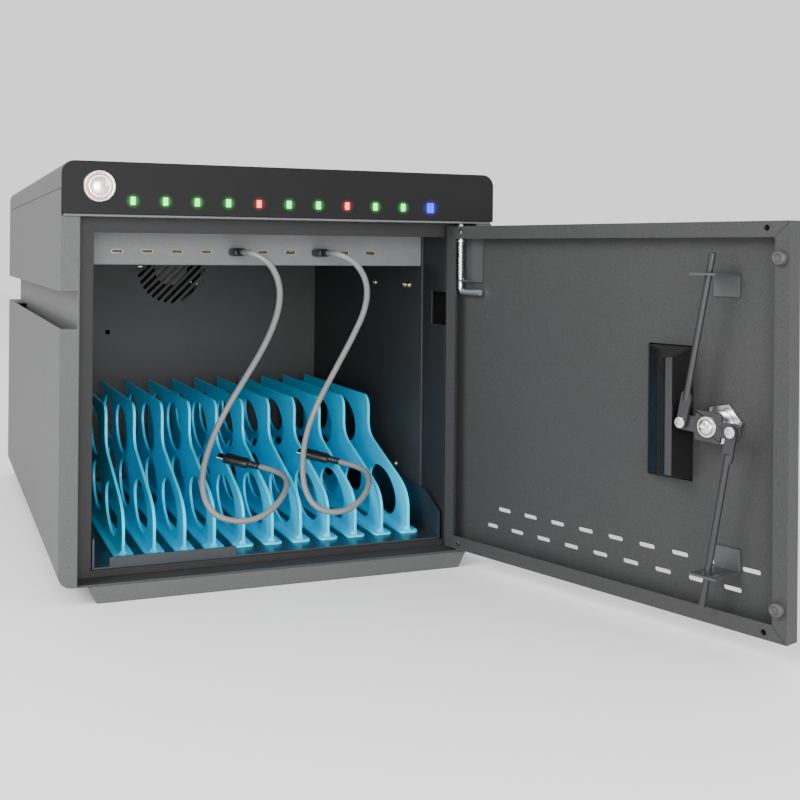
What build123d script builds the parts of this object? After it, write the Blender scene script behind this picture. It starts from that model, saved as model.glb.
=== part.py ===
"""Laptop charging station: a lockable sheet-metal cabinet with ten slots and ten charging ports.

Millimetres, +Z up, the door at the front (-Y). The origin is the centre of the base underside.
The door stands open, as the station is shown, and is drawn in its own plane.
"""
import os
from math import atan2, cos, degrees, hypot, pi, radians, sin, sqrt, tan

from build123d import *

os.makedirs("parts", exist_ok=True)

# Cabinet
width = 350.0
depth = 540.0
height = 326.0
sheet = 1.5
seat = 0.3
seam = 0.2
plinth_height = 13.0
plinth_side_gap = 21.0
plinth_slope = 7.0

# Side boxes with the hand grip along their whole length
side_thickness = 14.0
side_corner = 10.0
grip_bottom = 203.0
grip_top = 230.0
grip_slot_end = 450.0
cover_skirt_bottom = height - 20.0
cover_corner = 9.0
cover_gap = 0.3

# Head with the front panel
bezel_height = 39.0
bezel_thickness = 3.0
bezel_corner = 9.5
bezel_edge = 0.8
head_depth = 60.0

# Door, hinged at the right
door_gap = 3.0
door_bottom = 16.0
door_top = 283.0
door_thickness = 13.0
door_lip = 10.5
hinge_inset = 9.0
hinge_depth = 5.6
open_angle = 108.0

# Front frame behind the door, and the cavity
frame_y = 18.0
frame_bottom = 20.0
frame_top = 274.0
cavity_left = 26.0
cavity_right = 316.0
cavity_depth = 363.0
liner_lap = 64.0
notch_bottom = 200.0
notch_top = 228.0
rod_hole_left = 62.0
rod_hole_right = 75.5
rod_hole_front = 21.3
rod_hole_back = 27.3

# Charging ports
port_count = 10
port_pitch = 24.0
first_port = 50.5
port_height = 260.0
port_panel_y = 66.0
port_panel_bottom = port_height - 11.0
port_length = 8.0

# Status lights and power button
light_count = 11
light_pitch = 24.1
first_light = 51.4
light_drop = 28.7
button_x = 27.0
button_drop = 18.5
button_diameter = 24.5

# Slotted tray and dividers
divider_count = 11
divider_pitch = 24.1
first_divider = 54.0
divider_thickness = 2.4
divider_front = 44.0
divider_back = 336.0
divider_height = 106.0
divider_base_width = 16.0
divider_base_thickness = 2.0
fin_slope = 0.369
fin_rest_length = 48.0
tray_wall_low = 23.0
tray_wall_high = 36.0
tray_lip_left = 40.0
tray_lip_right = 138.0
tray_lip_height = 7.0
tray_back_lip = 12.0
rail_length = 14.0
rail_left = 60.0
rail_right = 290.0

# Fan in the back wall
fan_x = 153.5
fan_z = 241.0
fan_size = 80.0
fan_bore = 72.0

# Leads
cable_diameter = 5.0
lead_ports = (5, 8)

left = -width / 2
right = width / 2
front = -depth / 2
rear = depth / 2


def across(distance):
    """X of a point this far from the left side."""
    return left + distance


def back(distance):
    """Y of a point this far behind the front."""
    return front + distance


def block(x0, x1, y0, y1, z0, z1, mode=Mode.ADD):
    """A plain block between two corners, added to the piece under construction."""
    with Locations(((x0 + x1) / 2, (y0 + y1) / 2, (z0 + z1) / 2)):
        Box(x1 - x0, y1 - y0, z1 - z0, mode=mode)


floor_z = plinth_height
floor_top = floor_z + sheet
head_bottom = height - bezel_height
head_floor = head_bottom - sheet
inner_left = across(side_thickness)
inner_right = -inner_left
ceiling_z = frame_top + sheet
tray_floor = frame_bottom
tray_top = tray_floor + sheet
frame_back = frame_y + sheet
pieces = {}


def rod_passage(z):
    """Hole that a locking rod goes through when the door is shut and locked."""
    block(across(rod_hole_left), across(rod_hole_right), back(rod_hole_front), back(rod_hole_back),
          z - 2 * sheet, z + 2 * sheet, mode=Mode.SUBTRACT)


# Base pan: one folded sheet with sloping sides, the plinth that the cabinet stands on
with BuildPart() as base_pan:
    plinth_left = across(plinth_side_gap)
    with BuildSketch(Plane.XZ.offset(-front)):
        with BuildLine():
            Polyline((plinth_left, floor_z), (plinth_left + plinth_slope, 0),
                     (-plinth_left - plinth_slope, 0), (-plinth_left, floor_z), close=True)
        make_face()
    extrude(amount=-depth)
    with BuildSketch(Plane.XZ.offset(-front - sheet)):
        with BuildLine():
            Polyline((plinth_left + sheet, floor_z), (plinth_left + plinth_slope + sheet, sheet),
                     (-plinth_left - plinth_slope - sheet, sheet), (-plinth_left - sheet, floor_z), close=True)
        make_face()
    extrude(amount=-(depth - 2 * sheet), mode=Mode.SUBTRACT)
pieces["base_pan"] = base_pan

# Cabinet floor between the side boxes, with the hole for the lower hinge pin
hinge_x = inner_right - door_gap - hinge_inset
hinge_y = back(hinge_depth)
pin_diameter = 5.0
pin_clearance = 0.2
with BuildPart() as cabinet_floor:
    block(inner_left, inner_right, front, rear - sheet, floor_z, floor_top)
    with Locations((hinge_x, hinge_y, floor_z + sheet / 2)):
        Cylinder(pin_diameter / 2, sheet * 2, mode=Mode.SUBTRACT)
    rod_passage(floor_z)
pieces["cabinet_floor"] = cabinet_floor


def side_outline(inset):
    """Left side box seen from the front, its outer walls moved in by the inset."""
    x0 = left + inset
    x1 = inner_left - inset
    z0 = floor_z + inset
    radius = side_corner - inset
    with BuildLine() as outline:
        RadiusArc((x0, z0 + radius), (x0 + radius, z0), -radius)
        Polyline((x0 + radius, z0), (x1, z0), (x1, grip_bottom - inset), (x0, grip_bottom - inset),
                 (x0, z0 + radius))
    return outline.edges()


# Side boxes: a low and a high box joined by the back of the hand grip, with a finger slot behind the skin
with BuildPart() as left_side:
    with BuildSketch(Plane.XZ.offset(-front)):
        make_face(side_outline(0))
    extrude(amount=-depth)
    with BuildSketch(Plane.XZ.offset(-front - sheet)):
        make_face(side_outline(sheet))
    extrude(amount=-(depth - 2 * sheet), mode=Mode.SUBTRACT)
    block(left + sheet, inner_left - sheet, front + sheet, back(grip_slot_end),
          grip_bottom - 2 * sheet, grip_bottom + sheet, mode=Mode.SUBTRACT)
    block(inner_left - sheet, inner_left, front, rear, grip_bottom - sheet, grip_top + sheet)
    block(left, inner_left, front, rear, grip_top, cover_skirt_bottom - seam)
    block(left + sheet, inner_left - sheet, front + sheet, rear - sheet,
          grip_top + sheet, cover_skirt_bottom - sheet, mode=Mode.SUBTRACT)
    block(left - 1, inner_left + 1, front - 1, back(sheet), head_floor, height, mode=Mode.SUBTRACT)
pieces["left_side"] = left_side

with BuildPart() as right_side:
    add(mirror(left_side.part, about=Plane.YZ, mode=Mode.PRIVATE))
pieces["right_side"] = right_side


def cover_outline(inset):
    """Top cover seen from the front, its outer skin moved in by the inset."""
    x = right - inset
    z = height - inset
    radius = cover_corner - inset
    with BuildLine() as outline:
        Line((-x, cover_skirt_bottom), (-x, z - radius))
        RadiusArc((-x, z - radius), (-x + radius, z), radius)
        Line((-x + radius, z), (x - radius, z))
        RadiusArc((x - radius, z), (x, z - radius), radius)
        Polyline((x, z - radius), (x, cover_skirt_bottom), (-x, cover_skirt_bottom))
    return outline.edges()


# Top cover: a lid of bent sheet with short skirts
with BuildPart() as top_cover:
    with BuildSketch(Plane.XZ.offset(-front)):
        make_face(cover_outline(0))
    extrude(amount=-depth)
    with BuildSketch(Plane.XZ.offset(-front + 1)):
        make_face(cover_outline(sheet))
    extrude(amount=-(depth + 2), mode=Mode.SUBTRACT)
pieces["top_cover"] = top_cover

# Head tray: front plate and floor that carry the bezel, the button and the lights
light_z = height - light_drop
button_z = height - button_drop
light_size = (3.8, 6.0)
signal_size = (6.2, 8.2)
barrel_diameter = 19.0
with BuildPart() as head_tray:
    edge = right - sheet - seam
    block(-edge, edge, front, back(head_depth), head_floor, head_bottom)
    block(-edge, edge, front, back(sheet), head_bottom, height - sheet - cover_gap)
    with BuildSketch(Plane.XZ.offset(-front)):
        with Locations((across(button_x), button_z)):
            Circle(barrel_diameter / 2 + 0.2)
        for index in range(light_count):
            with Locations((across(first_light + index * light_pitch), light_z)):
                Rectangle(signal_size[0] + 1, signal_size[1] + 1)
    extrude(amount=-sheet, mode=Mode.SUBTRACT)
    for side in (-1, 1):
        corner = cover_corner
        with BuildSketch(Plane.XZ.offset(-front)):
            with Locations((side * edge, height - sheet - cover_gap)):
                Rectangle(2 * corner, 2 * corner)
            with Locations((side * (edge - corner), height - sheet - cover_gap - corner)):
                Circle(corner, mode=Mode.SUBTRACT)
        extrude(amount=-sheet, mode=Mode.SUBTRACT)
    for side in (-1, 1):
        x0 = min(side * inner_left, side * (left - 1))
        block(x0, x0 + side_thickness + 1, back(sheet), back(head_depth + 1), head_floor - 1,
              head_bottom + 1, mode=Mode.SUBTRACT)
    with Locations((hinge_x, hinge_y, head_floor)):
        Cylinder(pin_diameter / 2 + pin_clearance, 4 * sheet, mode=Mode.SUBTRACT)
pieces["head_tray"] = head_tray

# Bezel: glossy moulded front panel with windows for the lights
with BuildPart() as bezel:
    with BuildSketch(Plane.XZ.offset(-front)):
        with Locations((0, height - bezel_height / 2)):
            Rectangle(width, bezel_height)
        fillet(vertices().sort_by(Axis.Y)[-2:], bezel_corner)
        with Locations((across(button_x), button_z)):
            Circle(barrel_diameter / 2 + 0.1, mode=Mode.SUBTRACT)
        for index in range(light_count):
            size = signal_size if index == light_count - 1 else light_size
            with Locations((across(first_light + index * light_pitch), light_z)):
                Rectangle(size[0] + 0.1, size[1] + 0.1, mode=Mode.SUBTRACT)
    extrude(amount=bezel_thickness)
    fillet(bezel.faces().sort_by(Axis.Y)[0].outer_wire().edges(), bezel_edge)
pieces["bezel"] = bezel

# Light pipes: ten port lights and a larger hollow signal light, each reaching back to the board
board_y = 8.0
board_thickness = 1.6
board_clearance = 0.1
light_proud = 0.3
mark_size = (3.2, 4.8)
mark_depth = 1.0
red_ports = (5, 8)


def light_pipe(index, size):
    """One light pipe through the bezel, its face a little proud."""
    x = across(first_light + index * light_pitch)
    block(x - size[0] / 2, x + size[0] / 2,
          front - bezel_thickness - light_proud, back(board_y - board_clearance),
          light_z - size[1] / 2, light_z + size[1] / 2)


with BuildPart() as green_lights:
    for index in range(port_count):
        if index + 1 not in red_ports:
            light_pipe(index, light_size)
pieces["green_lights"] = green_lights

with BuildPart() as red_lights:
    for port in red_ports:
        light_pipe(port - 1, light_size)
pieces["red_lights"] = red_lights

with BuildPart() as blue_light:
    light_pipe(light_count - 1, signal_size)
    x = across(first_light + (light_count - 1) * light_pitch)
    mark_front = front - bezel_thickness - light_proud
    block(x - mark_size[0] / 2, x + mark_size[0] / 2, mark_front - 1, mark_front + mark_depth,
          light_z - mark_size[1] / 2, light_z + mark_size[1] / 2, mode=Mode.SUBTRACT)
pieces["blue_light"] = blue_light

# Status board behind the light pipes, held off the front plate by three posts; two more hold the port board
board_left = across(first_light - 8)
board_right = across(first_light + (light_count - 1) * light_pitch + 10)
post_radius = 2.2
with BuildPart() as status_board:
    block(board_left, board_right, back(board_y), back(board_y + board_thickness), light_z - 8, light_z + 16)
pieces["status_board"] = status_board

with BuildPart() as board_posts:
    for x in (board_left + 3, 0, board_right - 3):
        with Locations(Plane(origin=(x, back(sheet), light_z + 12), z_dir=(0, 1, 0))):
            Cylinder(post_radius, board_y - sheet, align=(Align.CENTER, Align.CENTER, Align.MIN))
    for x in (first_port - 9, first_port + (port_count - 1) * port_pitch + 9):
        post_foot = (across(x), back(port_panel_y + sheet), port_height + 8)
        with Locations(Plane(origin=post_foot, z_dir=(0, 1, 0))):
            Cylinder(post_radius, port_length - sheet, align=(Align.CENTER, Align.CENTER, Align.MIN))
pieces["board_posts"] = board_posts

# Power button: fixed ring and barrel, a clamping nut, and the domed cap that is pressed
button_front = (across(button_x), front - bezel_thickness, button_z)
button_section = Plane(button_front, x_dir=(1, 0, 0), z_dir=(0, 0, 1))
button_axis = Axis(button_front, (0, 1, 0))
cap_diameter = 17.0
cap_gap = 0.3
cap_length = 9.0
ring_height = 2.2
ring_slope = 1.2
ring_foot = 0.6
barrel_length = 16.0
barrel_floor = 14.0
with BuildPart() as button_body:
    with BuildSketch(button_section):
        with BuildLine():
            outer = button_diameter / 2
            inner = cap_diameter / 2 + cap_gap
            barrel = barrel_diameter / 2
            Polyline((inner, barrel_floor), (inner, -ring_height), (outer - ring_slope, -ring_height),
                     (outer, -ring_foot), (outer, 0), (barrel, 0), (barrel, barrel_length),
                     (0, barrel_length), (0, barrel_floor), close=True)
        make_face()
    revolve(axis=button_axis)
pieces["button_body"] = button_body

with BuildPart() as button_cap:
    with BuildSketch(button_section):
        with BuildLine():
            rim = cap_diameter / 2
            rim_height = ring_height + 0.4
            dome_height = ring_height + 1.3
            Line((0, cap_length), (rim, cap_length))
            Line((rim, cap_length), (rim, -rim_height))
            TangentArc((0, -dome_height), (rim, -rim_height), tangent=(1, 0))
            Line((0, -dome_height), (0, cap_length))
        make_face()
    revolve(axis=button_axis)
pieces["button_cap"] = button_cap

with BuildPart() as button_nut:
    with BuildSketch(Plane.XZ.offset(-back(sheet) - 0.05)):
        with Locations((across(button_x), button_z)):
            RegularPolygon(12.5, 6)
            Circle(barrel_diameter / 2 + 0.05, mode=Mode.SUBTRACT)
    extrude(amount=-3.5)
pieces["button_nut"] = button_nut

# Front frame: the header, sill and stiles that the closed door rests against
stile_notch = (18.0, notch_top - notch_bottom)
notch_offset = 8.0
with BuildPart() as front_frame:
    with BuildSketch(Plane.XZ.offset(-back(frame_y))):
        with Locations(((inner_left + inner_right) / 2, (floor_top + head_floor) / 2)):
            Rectangle(inner_right - inner_left, head_floor - floor_top)
        with Locations(((across(cavity_left) + across(cavity_right)) / 2, (frame_bottom + frame_top) / 2)):
            Rectangle(cavity_right - cavity_left, frame_top - frame_bottom, mode=Mode.SUBTRACT)
        with Locations((across(cavity_right) + notch_offset, (notch_bottom + notch_top) / 2)):
            Rectangle(*stile_notch, mode=Mode.SUBTRACT)
    extrude(amount=-sheet)
pieces["front_frame"] = front_frame

# Side walls of the cavity: the right one in two lapped sheets with the notch for the hinge handle
notch_back = 46.0
jamb_overlap = 16.0
with BuildPart() as right_jamb:
    block(across(cavity_right), across(cavity_right) + sheet, back(frame_back), back(liner_lap + jamb_overlap),
          floor_top, ceiling_z)
    block(across(cavity_right) - 1, across(cavity_right) + sheet + 1, back(frame_back) - 1, back(notch_back),
          notch_bottom, notch_top, mode=Mode.SUBTRACT)
pieces["right_jamb"] = right_jamb

with BuildPart() as right_liner:
    block(across(cavity_right) - sheet, across(cavity_right), back(liner_lap), back(cavity_depth),
          floor_top, ceiling_z)
pieces["right_liner"] = right_liner

with BuildPart() as left_liner:
    block(across(cavity_left) - sheet, across(cavity_left), back(frame_back), back(cavity_depth),
          floor_top, ceiling_z)
pieces["left_liner"] = left_liner

# Ceiling of the cavity
with BuildPart() as ceiling:
    block(inner_left, inner_right, back(frame_back), back(cavity_depth + sheet), ceiling_z, ceiling_z + sheet)
    rod_passage(ceiling_z)
pieces["ceiling"] = ceiling

# Back wall with the fan grille: parallel slots at 45 degrees inside a circle
slot_pitch = 6.4
slot_width = 3.4
slot_count = 11
cable_hole = (87.0, 175.0)
cable_hole_radius = 2.5
with BuildPart() as back_wall:
    block(inner_left, inner_right, back(cavity_depth), back(cavity_depth + sheet), floor_top, ceiling_z)
    with BuildSketch(Plane.XZ.offset(-back(cavity_depth))):
        for index in range(slot_count):
            offset_across = (index - (slot_count - 1) / 2) * slot_pitch
            half = sqrt((fan_bore / 2) ** 2 - offset_across ** 2)
            with Locations(Location((across(fan_x) - offset_across * cos(pi / 4),
                                     fan_z + offset_across * sin(pi / 4)), 0)):
                SlotOverall(max(2 * half, 2 * slot_width), slot_width, rotation=45)
    extrude(amount=-sheet, mode=Mode.SUBTRACT)
    with Locations((across(cable_hole[0]), back(cavity_depth), cable_hole[1])):
        Cylinder(cable_hole_radius, 4 * sheet, rotation=(90, 0, 0), mode=Mode.SUBTRACT)
pieces["back_wall"] = back_wall

# Port panel, hung from the ceiling, its lower edge folded back
panel_left = across(cavity_left) + seat
panel_right = across(cavity_right) - sheet - seat
receptacle = (9.2, 3.4)
top_flange = 14.0
bottom_flange = 8.0
flange_bend = 1.4
with BuildPart() as port_panel:
    panel_front = back(port_panel_y)
    block(panel_left, panel_right, panel_front, panel_front + sheet, port_panel_bottom, ceiling_z)
    block(panel_left, panel_right, back(port_panel_y), back(port_panel_y) + top_flange, ceiling_z - sheet,
          ceiling_z)
    block(panel_left, panel_right, back(port_panel_y), back(port_panel_y) + bottom_flange, port_panel_bottom,
          port_panel_bottom + sheet)
    bend = port_panel.edges().filter_by(Axis.X).group_by(Axis.Z)[0].sort_by(Axis.Y)[0]
    fillet(bend, flange_bend)
    with BuildSketch(Plane.XZ.offset(-back(port_panel_y))):
        for index in range(port_count):
            with Locations((across(first_port + index * port_pitch), port_height)):
                SlotOverall(receptacle[0] + seam, receptacle[1] + seam)
    extrude(amount=-sheet, mode=Mode.SUBTRACT)
pieces["port_panel"] = port_panel

# Receptacles: open metal shells with a closed back, soldered to the port board
mouth = (8.5, 2.7)
mouth_proud = 0.3
shell_back = 0.7
with BuildPart() as port_sockets:
    for index in range(port_count):
        x = across(first_port + index * port_pitch)
        with BuildSketch(Plane.XZ.offset(-back(port_panel_y) + mouth_proud)):
            with Locations((x, port_height)):
                SlotOverall(*receptacle)
        extrude(amount=-(port_length + mouth_proud))
        with BuildSketch(Plane.XZ.offset(-back(port_panel_y) + mouth_proud)):
            with Locations((x, port_height)):
                SlotOverall(*mouth)
        extrude(amount=-(port_length - shell_back), mode=Mode.SUBTRACT)
pieces["port_sockets"] = port_sockets

port_board_y = port_panel_y + port_length
port_board_margin = 12.0
with BuildPart() as port_board:
    block(across(first_port - port_board_margin),
          across(first_port + (port_count - 1) * port_pitch + port_board_margin),
          back(port_board_y), back(port_board_y + board_thickness), port_height - 8, port_height + 12)
pieces["port_board"] = port_board

# Tray: floor with a short raised lip and side walls that step down to the front
tray_left = across(cavity_left) + 1.0
tray_right = across(cavity_right) - sheet - 0.8
tray_front = frame_y + 1.7
tray_back = cavity_depth - 4.0
tray_chamfer = 28.0
with BuildPart() as tray:
    block(tray_left, tray_right, back(tray_front), back(tray_back), tray_floor, tray_top)
    for x in (tray_left, tray_right - sheet):
        with BuildSketch(Plane.YZ.offset(x)):
            with BuildLine():
                Polyline((back(tray_front), tray_floor), (back(tray_front), tray_floor + tray_wall_low),
                         (back(tray_front + tray_chamfer), tray_floor + tray_wall_high),
                         (back(tray_back), tray_floor + tray_wall_high), (back(tray_back), tray_floor),
                         close=True)
            make_face()
        extrude(amount=sheet)
    rod_passage(tray_floor)
    block(across(tray_lip_left), across(tray_lip_right), back(tray_front), back(tray_front) + sheet,
          tray_floor, tray_top + tray_lip_height)
    block(tray_left, tray_right, back(tray_back) - sheet, back(tray_back),
          tray_floor, tray_top + tray_back_lip)
pieces["tray"] = tray

with BuildPart() as tray_supports:
    for y in (70, 190, 310):
        block(across(rail_left), across(rail_right), back(y), back(y + rail_length), floor_top, tray_floor)
pieces["tray_supports"] = tray_supports

fin_rest_front = divider_front + 28
fin_rest_height = tray_top + 46


def divider_outline():
    """One divider fin seen from the side: low in front, rising in an S curve to the full height."""
    base = tray_top
    top = base + divider_height
    shoulder = back(divider_front + 97)
    nose = (back(divider_front), base + 18)
    rest_low = (back(fin_rest_front), fin_rest_height)
    rest_high = (back(fin_rest_front + fin_rest_length), fin_rest_height + fin_rest_length * fin_slope)
    with BuildLine() as outline:
        Polyline((back(divider_back), top), (back(divider_back), base), (back(divider_front), base), nose)
        Spline(nose, (back(divider_front + 7), base + 35), rest_low, tangents=((0, 1), (1, fin_slope)))
        Line(rest_low, rest_high)
        Spline(rest_high, (shoulder, base + 84), tangents=((1, fin_slope), (0, 1)))
        Line((shoulder, base + 84), (shoulder, top - 12))
        RadiusArc((shoulder, top - 12), (shoulder + 12, top), 12)
        Line((shoulder + 12, top), (back(divider_back), top))
    return outline.edges()


# Ovals that lighten the fins: distance behind the front, height above the tray, length and height
oval_rows = ((58, 26, 66, 38), (141, 30, 60, 38), (218, 30, 60, 38), (161, 76, 66, 40), (241, 76, 60, 40))
for number in range(0, divider_count, 2):
    count = min(2, divider_count - number)
    with BuildPart() as dividers:
        for x in [across(first_divider + (number + step) * divider_pitch) for step in range(count)]:
            with BuildSketch(Plane.YZ.offset(x - divider_thickness / 2)):
                make_face(divider_outline())
                for y, z, long, high in oval_rows:
                    with Locations((back(divider_front + y), tray_top + z)):
                        Ellipse(long / 2, high / 2, rotation=14, mode=Mode.SUBTRACT)
            extrude(amount=divider_thickness)
            with BuildSketch(Plane.XY.offset(tray_top)):
                with Locations((x, back((divider_front + divider_back) / 2) - 1)):
                    RectangleRounded(divider_base_width, divider_back - divider_front + 6, 4)
            extrude(amount=divider_base_thickness)
            with BuildSketch(Plane.XZ.offset(-back(divider_front + 2))):
                with BuildLine():
                    foot_top = tray_top + divider_base_thickness
                    rib_top = tray_top + 5.5
                    Polyline((x - 3.2, foot_top), (x - 1.2, rib_top),
                             (x + 1.2, rib_top), (x + 3.2, foot_top), close=True)
                make_face()
            extrude(amount=-(divider_back - divider_front - 4))
    pieces[f"dividers_{number + 1:02d}"] = dividers

# Zinc-plated screws that hold the liners, heads inside the cavity: wall, side that they face, back and up
screw_radius = 3.0
screw_head = 2.0
right_face = cavity_right - sheet
screw_places = ((cavity_left, 1, 78, 238), (right_face, -1, 92, 232), (right_face, -1, 101, 232),
                (right_face, -1, 176, 232), (right_face, -1, 120, 66), (cavity_left, 1, 300, 66))
with BuildPart() as liner_screws:
    for wall, side, y, z in screw_places:
        with BuildSketch(Plane(origin=(across(wall), back(y), z), x_dir=(0, 0, 1), z_dir=(side, 0, 0))):
            Circle(screw_radius)
        extrude(amount=screw_head)
        outer = (across(wall) + side * screw_head, back(y), z)
        fillet(liner_screws.edges().filter_by(GeomType.CIRCLE).sort_by_distance(outer)[0], 0.9)
pieces["liner_screws"] = liner_screws

# Rear compartment: rear panel, power supply, fan and mains inlet
inlet_x = across(70)
inlet_z = 60.0
inlet_cut = (27.2, 20.0)
rear_vent = (10.0, 4.0)
rear_vent_pitch = (14.0, 9.0)
fan_vents = (across(fan_x + 20), fan_z - 1.0, 12, 5)
supply_vents = (across(230), 70.0, 8, 6)
with BuildPart() as rear_panel:
    block(inner_left, inner_right, rear - sheet, rear, floor_z, head_bottom)
    block(-right + sheet + cover_gap, right - sheet - cover_gap, rear - sheet, rear,
          cover_skirt_bottom + cover_gap, height - cover_corner)
    block(inner_left, inner_right, rear - sheet, rear, head_bottom, height - sheet - cover_gap)
    with BuildSketch(Plane.XZ.offset(-rear + sheet)):
        with Locations((inlet_x, inlet_z)):
            Rectangle(*inlet_cut)
        for x, z, columns, rows in (fan_vents, supply_vents):
            with Locations((x, z)):
                with GridLocations(*rear_vent_pitch, columns, rows):
                    SlotOverall(*rear_vent)
    extrude(amount=-sheet, mode=Mode.SUBTRACT)
pieces["rear_panel"] = rear_panel

inlet_flange = (50.0, 25.0)
inlet_flange_thickness = 2.5
inlet_depth = 20.0
inlet_mouth = (24.0, 16.0)
inlet_mouth_depth = 15.0
prongs = ((-7, 2), (0, -2), (7, 2))
with BuildPart() as mains_inlet:
    with BuildSketch(Plane.XZ.offset(-rear)):
        with Locations((inlet_x, inlet_z)):
            RectangleRounded(*inlet_flange, 3)
    extrude(amount=-inlet_flange_thickness)
    with BuildSketch(Plane.XZ.offset(-rear)):
        with Locations((inlet_x, inlet_z)):
            Rectangle(inlet_cut[0] - 2 * seam, inlet_cut[1] - 2 * seam)
    extrude(amount=inlet_depth)
    with BuildSketch(Plane.XZ.offset(-rear - inlet_flange_thickness)):
        with Locations((inlet_x, inlet_z)):
            RectangleRounded(*inlet_mouth, 2)
    extrude(amount=inlet_mouth_depth, mode=Mode.SUBTRACT)
    for x, z in prongs:
        block(inlet_x + x - 1, inlet_x + x + 1, rear - 13, rear - 1, inlet_z + z - 2, inlet_z + z + 2)
pieces["mains_inlet"] = mains_inlet

supply_size = (180.0, 100.0, 60.0)
supply_left = 120.0
supply_from_rear = 47.0
with BuildPart() as power_supply:
    supply_back = rear - supply_from_rear
    block(across(supply_left), across(supply_left) + supply_size[0], supply_back - supply_size[1], supply_back,
          floor_top, floor_top + supply_size[2])
    fillet(power_supply.edges().filter_by(Axis.Z), 2)
pieces["power_supply"] = power_supply

# Fan frame: a square moulding with four arms that carry the motor boss and the shaft
fan_y = cavity_depth + sheet
fan_thickness = 25.0
hub_radius = 17.0
shaft_radius = 2.0
arm_thickness = 3.0
arm_width = 4.0
with BuildPart() as fan_frame:
    with BuildSketch(Plane.XZ.offset(-back(fan_y))):
        with Locations((across(fan_x), fan_z)):
            RectangleRounded(fan_size, fan_size, 5)
            Circle(fan_bore / 2 + 1.5, mode=Mode.SUBTRACT)
    extrude(amount=-fan_thickness)
    arm_plane = Plane.XZ.offset(-back(fan_y + fan_thickness - arm_thickness))
    with BuildSketch(arm_plane):
        with Locations((across(fan_x), fan_z)):
            Circle(hub_radius - 2)
            Rectangle(fan_bore + 5, arm_width)
            Rectangle(arm_width, fan_bore + 5)
    extrude(amount=-arm_thickness)
    with BuildSketch(arm_plane):
        with Locations((across(fan_x), fan_z)):
            Circle(shaft_radius)
    extrude(amount=fan_thickness - arm_thickness - 4)
pieces["fan_frame"] = fan_frame

# Fan rotor: hub on a shaft, with seven pitched blades
blade_count = 7
blade_radius = fan_bore / 2 - 1.0
blade_chord = 21.0
blade_thickness = 1.6
fan_centre_y = back(fan_y + fan_thickness / 2)
with BuildPart() as fan_rotor:
    with BuildSketch(Plane.XZ.offset(-back(fan_y + 2))):
        with Locations((across(fan_x), fan_z)):
            Circle(hub_radius)
    extrude(amount=-(fan_thickness - 7))
    with BuildSketch(Plane.XZ.offset(-back(fan_y + 3.3))):
        with Locations((across(fan_x), fan_z)):
            Circle(shaft_radius + 0.08)
    extrude(amount=-fan_thickness, mode=Mode.SUBTRACT)
    for index in range(blade_count):
        around = 2 * pi * index / blade_count
        middle = (hub_radius - 1 + blade_radius) / 2
        centre = (across(fan_x) + middle * cos(around), fan_centre_y - 2, fan_z + middle * sin(around))
        radial = (cos(around), 0, sin(around))
        with Locations(Plane(origin=centre, x_dir=radial, z_dir=(-sin(around) * 0.6, 0.8, cos(around) * 0.6))):
            Box(blade_radius - hub_radius + 1, blade_chord, blade_thickness)
pieces["fan_rotor"] = fan_rotor

# Door, drawn in its own plane: X runs from the hinge edge, Y is up, Z points into the cabinet when it is shut
swing = radians(open_angle)
door_width = inner_right - inner_left - 2 * door_gap
along = (-cos(swing), -sin(swing))
inward = (-sin(swing), cos(swing))
door_plane = Plane(
    origin=(hinge_x - along[0] * hinge_inset - inward[0] * hinge_depth,
            hinge_y - along[1] * hinge_inset - inward[1] * hinge_depth, 0),
    x_dir=(*along, 0), z_dir=(*inward, 0))
door_axis = Axis(door_plane.origin, door_plane.z_dir)


def at_door(distance):
    """The door's plane, this far in from its outer skin."""
    return door_plane.offset(distance)


def door_block(s0, s1, z0, z1, n0, n1, mode=Mode.ADD):
    """A plain block in the door's own directions: along, up and inward."""
    with BuildSketch(at_door(n0)) as outline:
        with Locations(((s0 + s1) / 2, (z0 + z1) / 2)):
            Rectangle(s1 - s0, z1 - z0)
    extrude(outline.sketch, amount=n1 - n0, mode=mode)


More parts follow.
